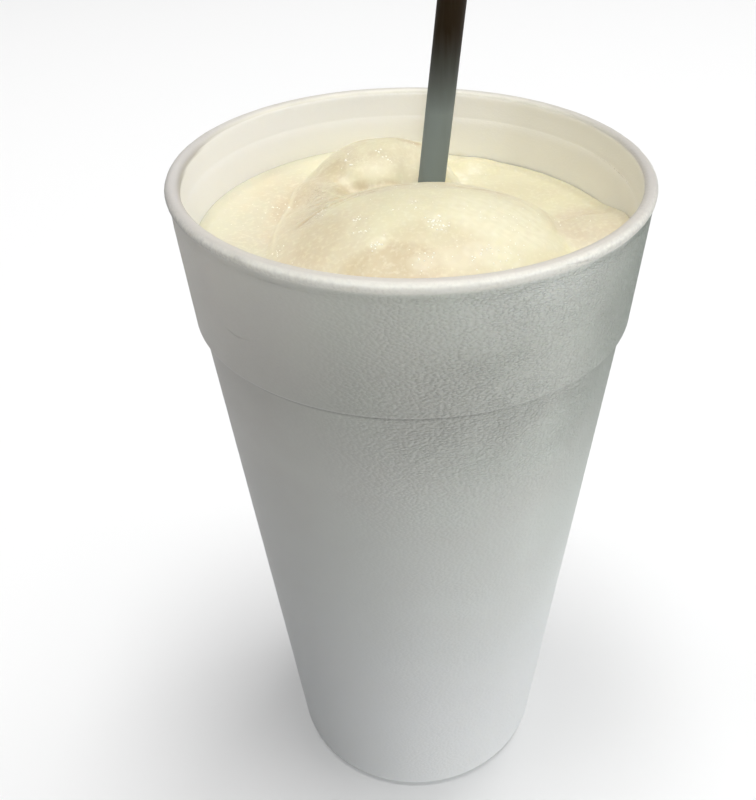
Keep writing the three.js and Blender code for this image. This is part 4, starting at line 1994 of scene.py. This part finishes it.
@dataclass(frozen=True)
class Glow:
    """A soft bright stretch of sky: its direction, how narrow it is, and its strength."""

    azimuth: float
    elevation: float
    narrowness: float
    strength: float

    def share(self, nodes: Nodes) -> bpy.types.NodeSocket:
        """Works out how bright the glow is.

        Args:
            nodes: The sky's node tree.

        Returns:
            The glow's brightness in each direction.
        """
        inputs = {0: nodes.add("TexCoord").outputs["Generated"], 1: direction(self.azimuth, self.elevation)}
        towards = nodes.add("VectorMath", inputs, operation="DOT_PRODUCT").outputs["Value"]
        held = nodes.math("MAXIMUM", towards, 0.0)
        return nodes.product(nodes.math("POWER", held, self.narrowness), self.strength)


@dataclass(frozen=True)
class Studio:
    """A plain white table under a soft sky, with soft boxes round it.

    The light that a white table throws back up comes from the lower glow and from small boxes under
    the table top, which itself neither shades them nor throws light back. Three narrow boxes stand
    for what it throws into the cup.
    """

    floor_size: float = 6.0
    sky_colour: Colour = (1.0, 1.0, 1.0, 1)
    sky_strength: float = 0.1
    glows: tuple[Glow, ...] = (
        Glow(0, 0, 3, 0.69),
        Glow(-60, -50, 2, 0.67),
    )
    lights: tuple[SoftBox, ...] = (
        SoftBox("overhead", 0, 88, 3, 1.5, 48),
        SoftBox("over the right", 0, 75, 3, 1.5, 15),
        SoftBox("over the left", 180, 75, 3, 1.5, 23),
        SoftBox("far right", 45, 50, 3, 1.5, 14.7),
        SoftBox("low right", -50, 4, 0.32, 0.12, 0.06, (0, 0, 10 * MM)),
        SoftBox("into the cup", -88, 33, 0.45, 0.12, 0.0105, (-20 * MM, 48 * MM, 173 * MM), 15),
        SoftBox("into the cup, right", -135, 36, 0.45, 0.12, 0.0018, (38 * MM, 32 * MM, 170 * MM), 12),
        SoftBox("into the cup, left", -38, 24, 0.45, 0.06, 0.00055, (-51 * MM, 4 * MM, 171 * MM), 8),
        SoftBox("under the foot, right", -40, -38, 0.09, 0.06, 0.0035, (20 * MM, -22 * MM, 12 * MM)),
        SoftBox("under the foot, near", -80, -38, 0.09, 0.06, 0.0095, (4 * MM, -30 * MM, 12 * MM)),
    )

    def build(self) -> None:
        """Lays the floor, lights the sky and hangs the lights."""
        leave_edit_mode()
        bpy.ops.mesh.primitive_plane_add(size=self.floor_size)
        floor = bpy.context.object
        floor.name = "white_table"
        floor.data.materials.append(FloorFinish().material())
        floor.visible_diffuse = False
        floor.visible_shadow = False
        world = bpy.data.worlds.new("ceiling")
        bpy.context.scene.world = world
        nodes = Nodes(world)
        strength = self.sky_strength
        for glow in self.glows:
            strength = nodes.math("ADD", strength, glow.share(nodes))
        nodes.surface("Background", {"Color": self.sky_colour, "Strength": strength})
        for light in self.lights:
            light.build()
        bpy.context.scene.view_settings.view_transform = "Standard"


def main() -> None:
    """Builds the camera, the studio and every piece of the drink, in order."""
    logging.basicConfig(level=logging.INFO, format="%(relativeCreated)d ms, %(name)s: %(message)s")
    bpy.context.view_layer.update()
    Viewpoint().build()
    Studio().build()
    cup = FoamCup()
    straw = Straw()
    shake = Milkshake(cup, straw)
    cup.build(shake.wall_level)
    straw.build()
    shake.build()
    Bubbles(shake).build()


if __name__ == "__main__":
    main()
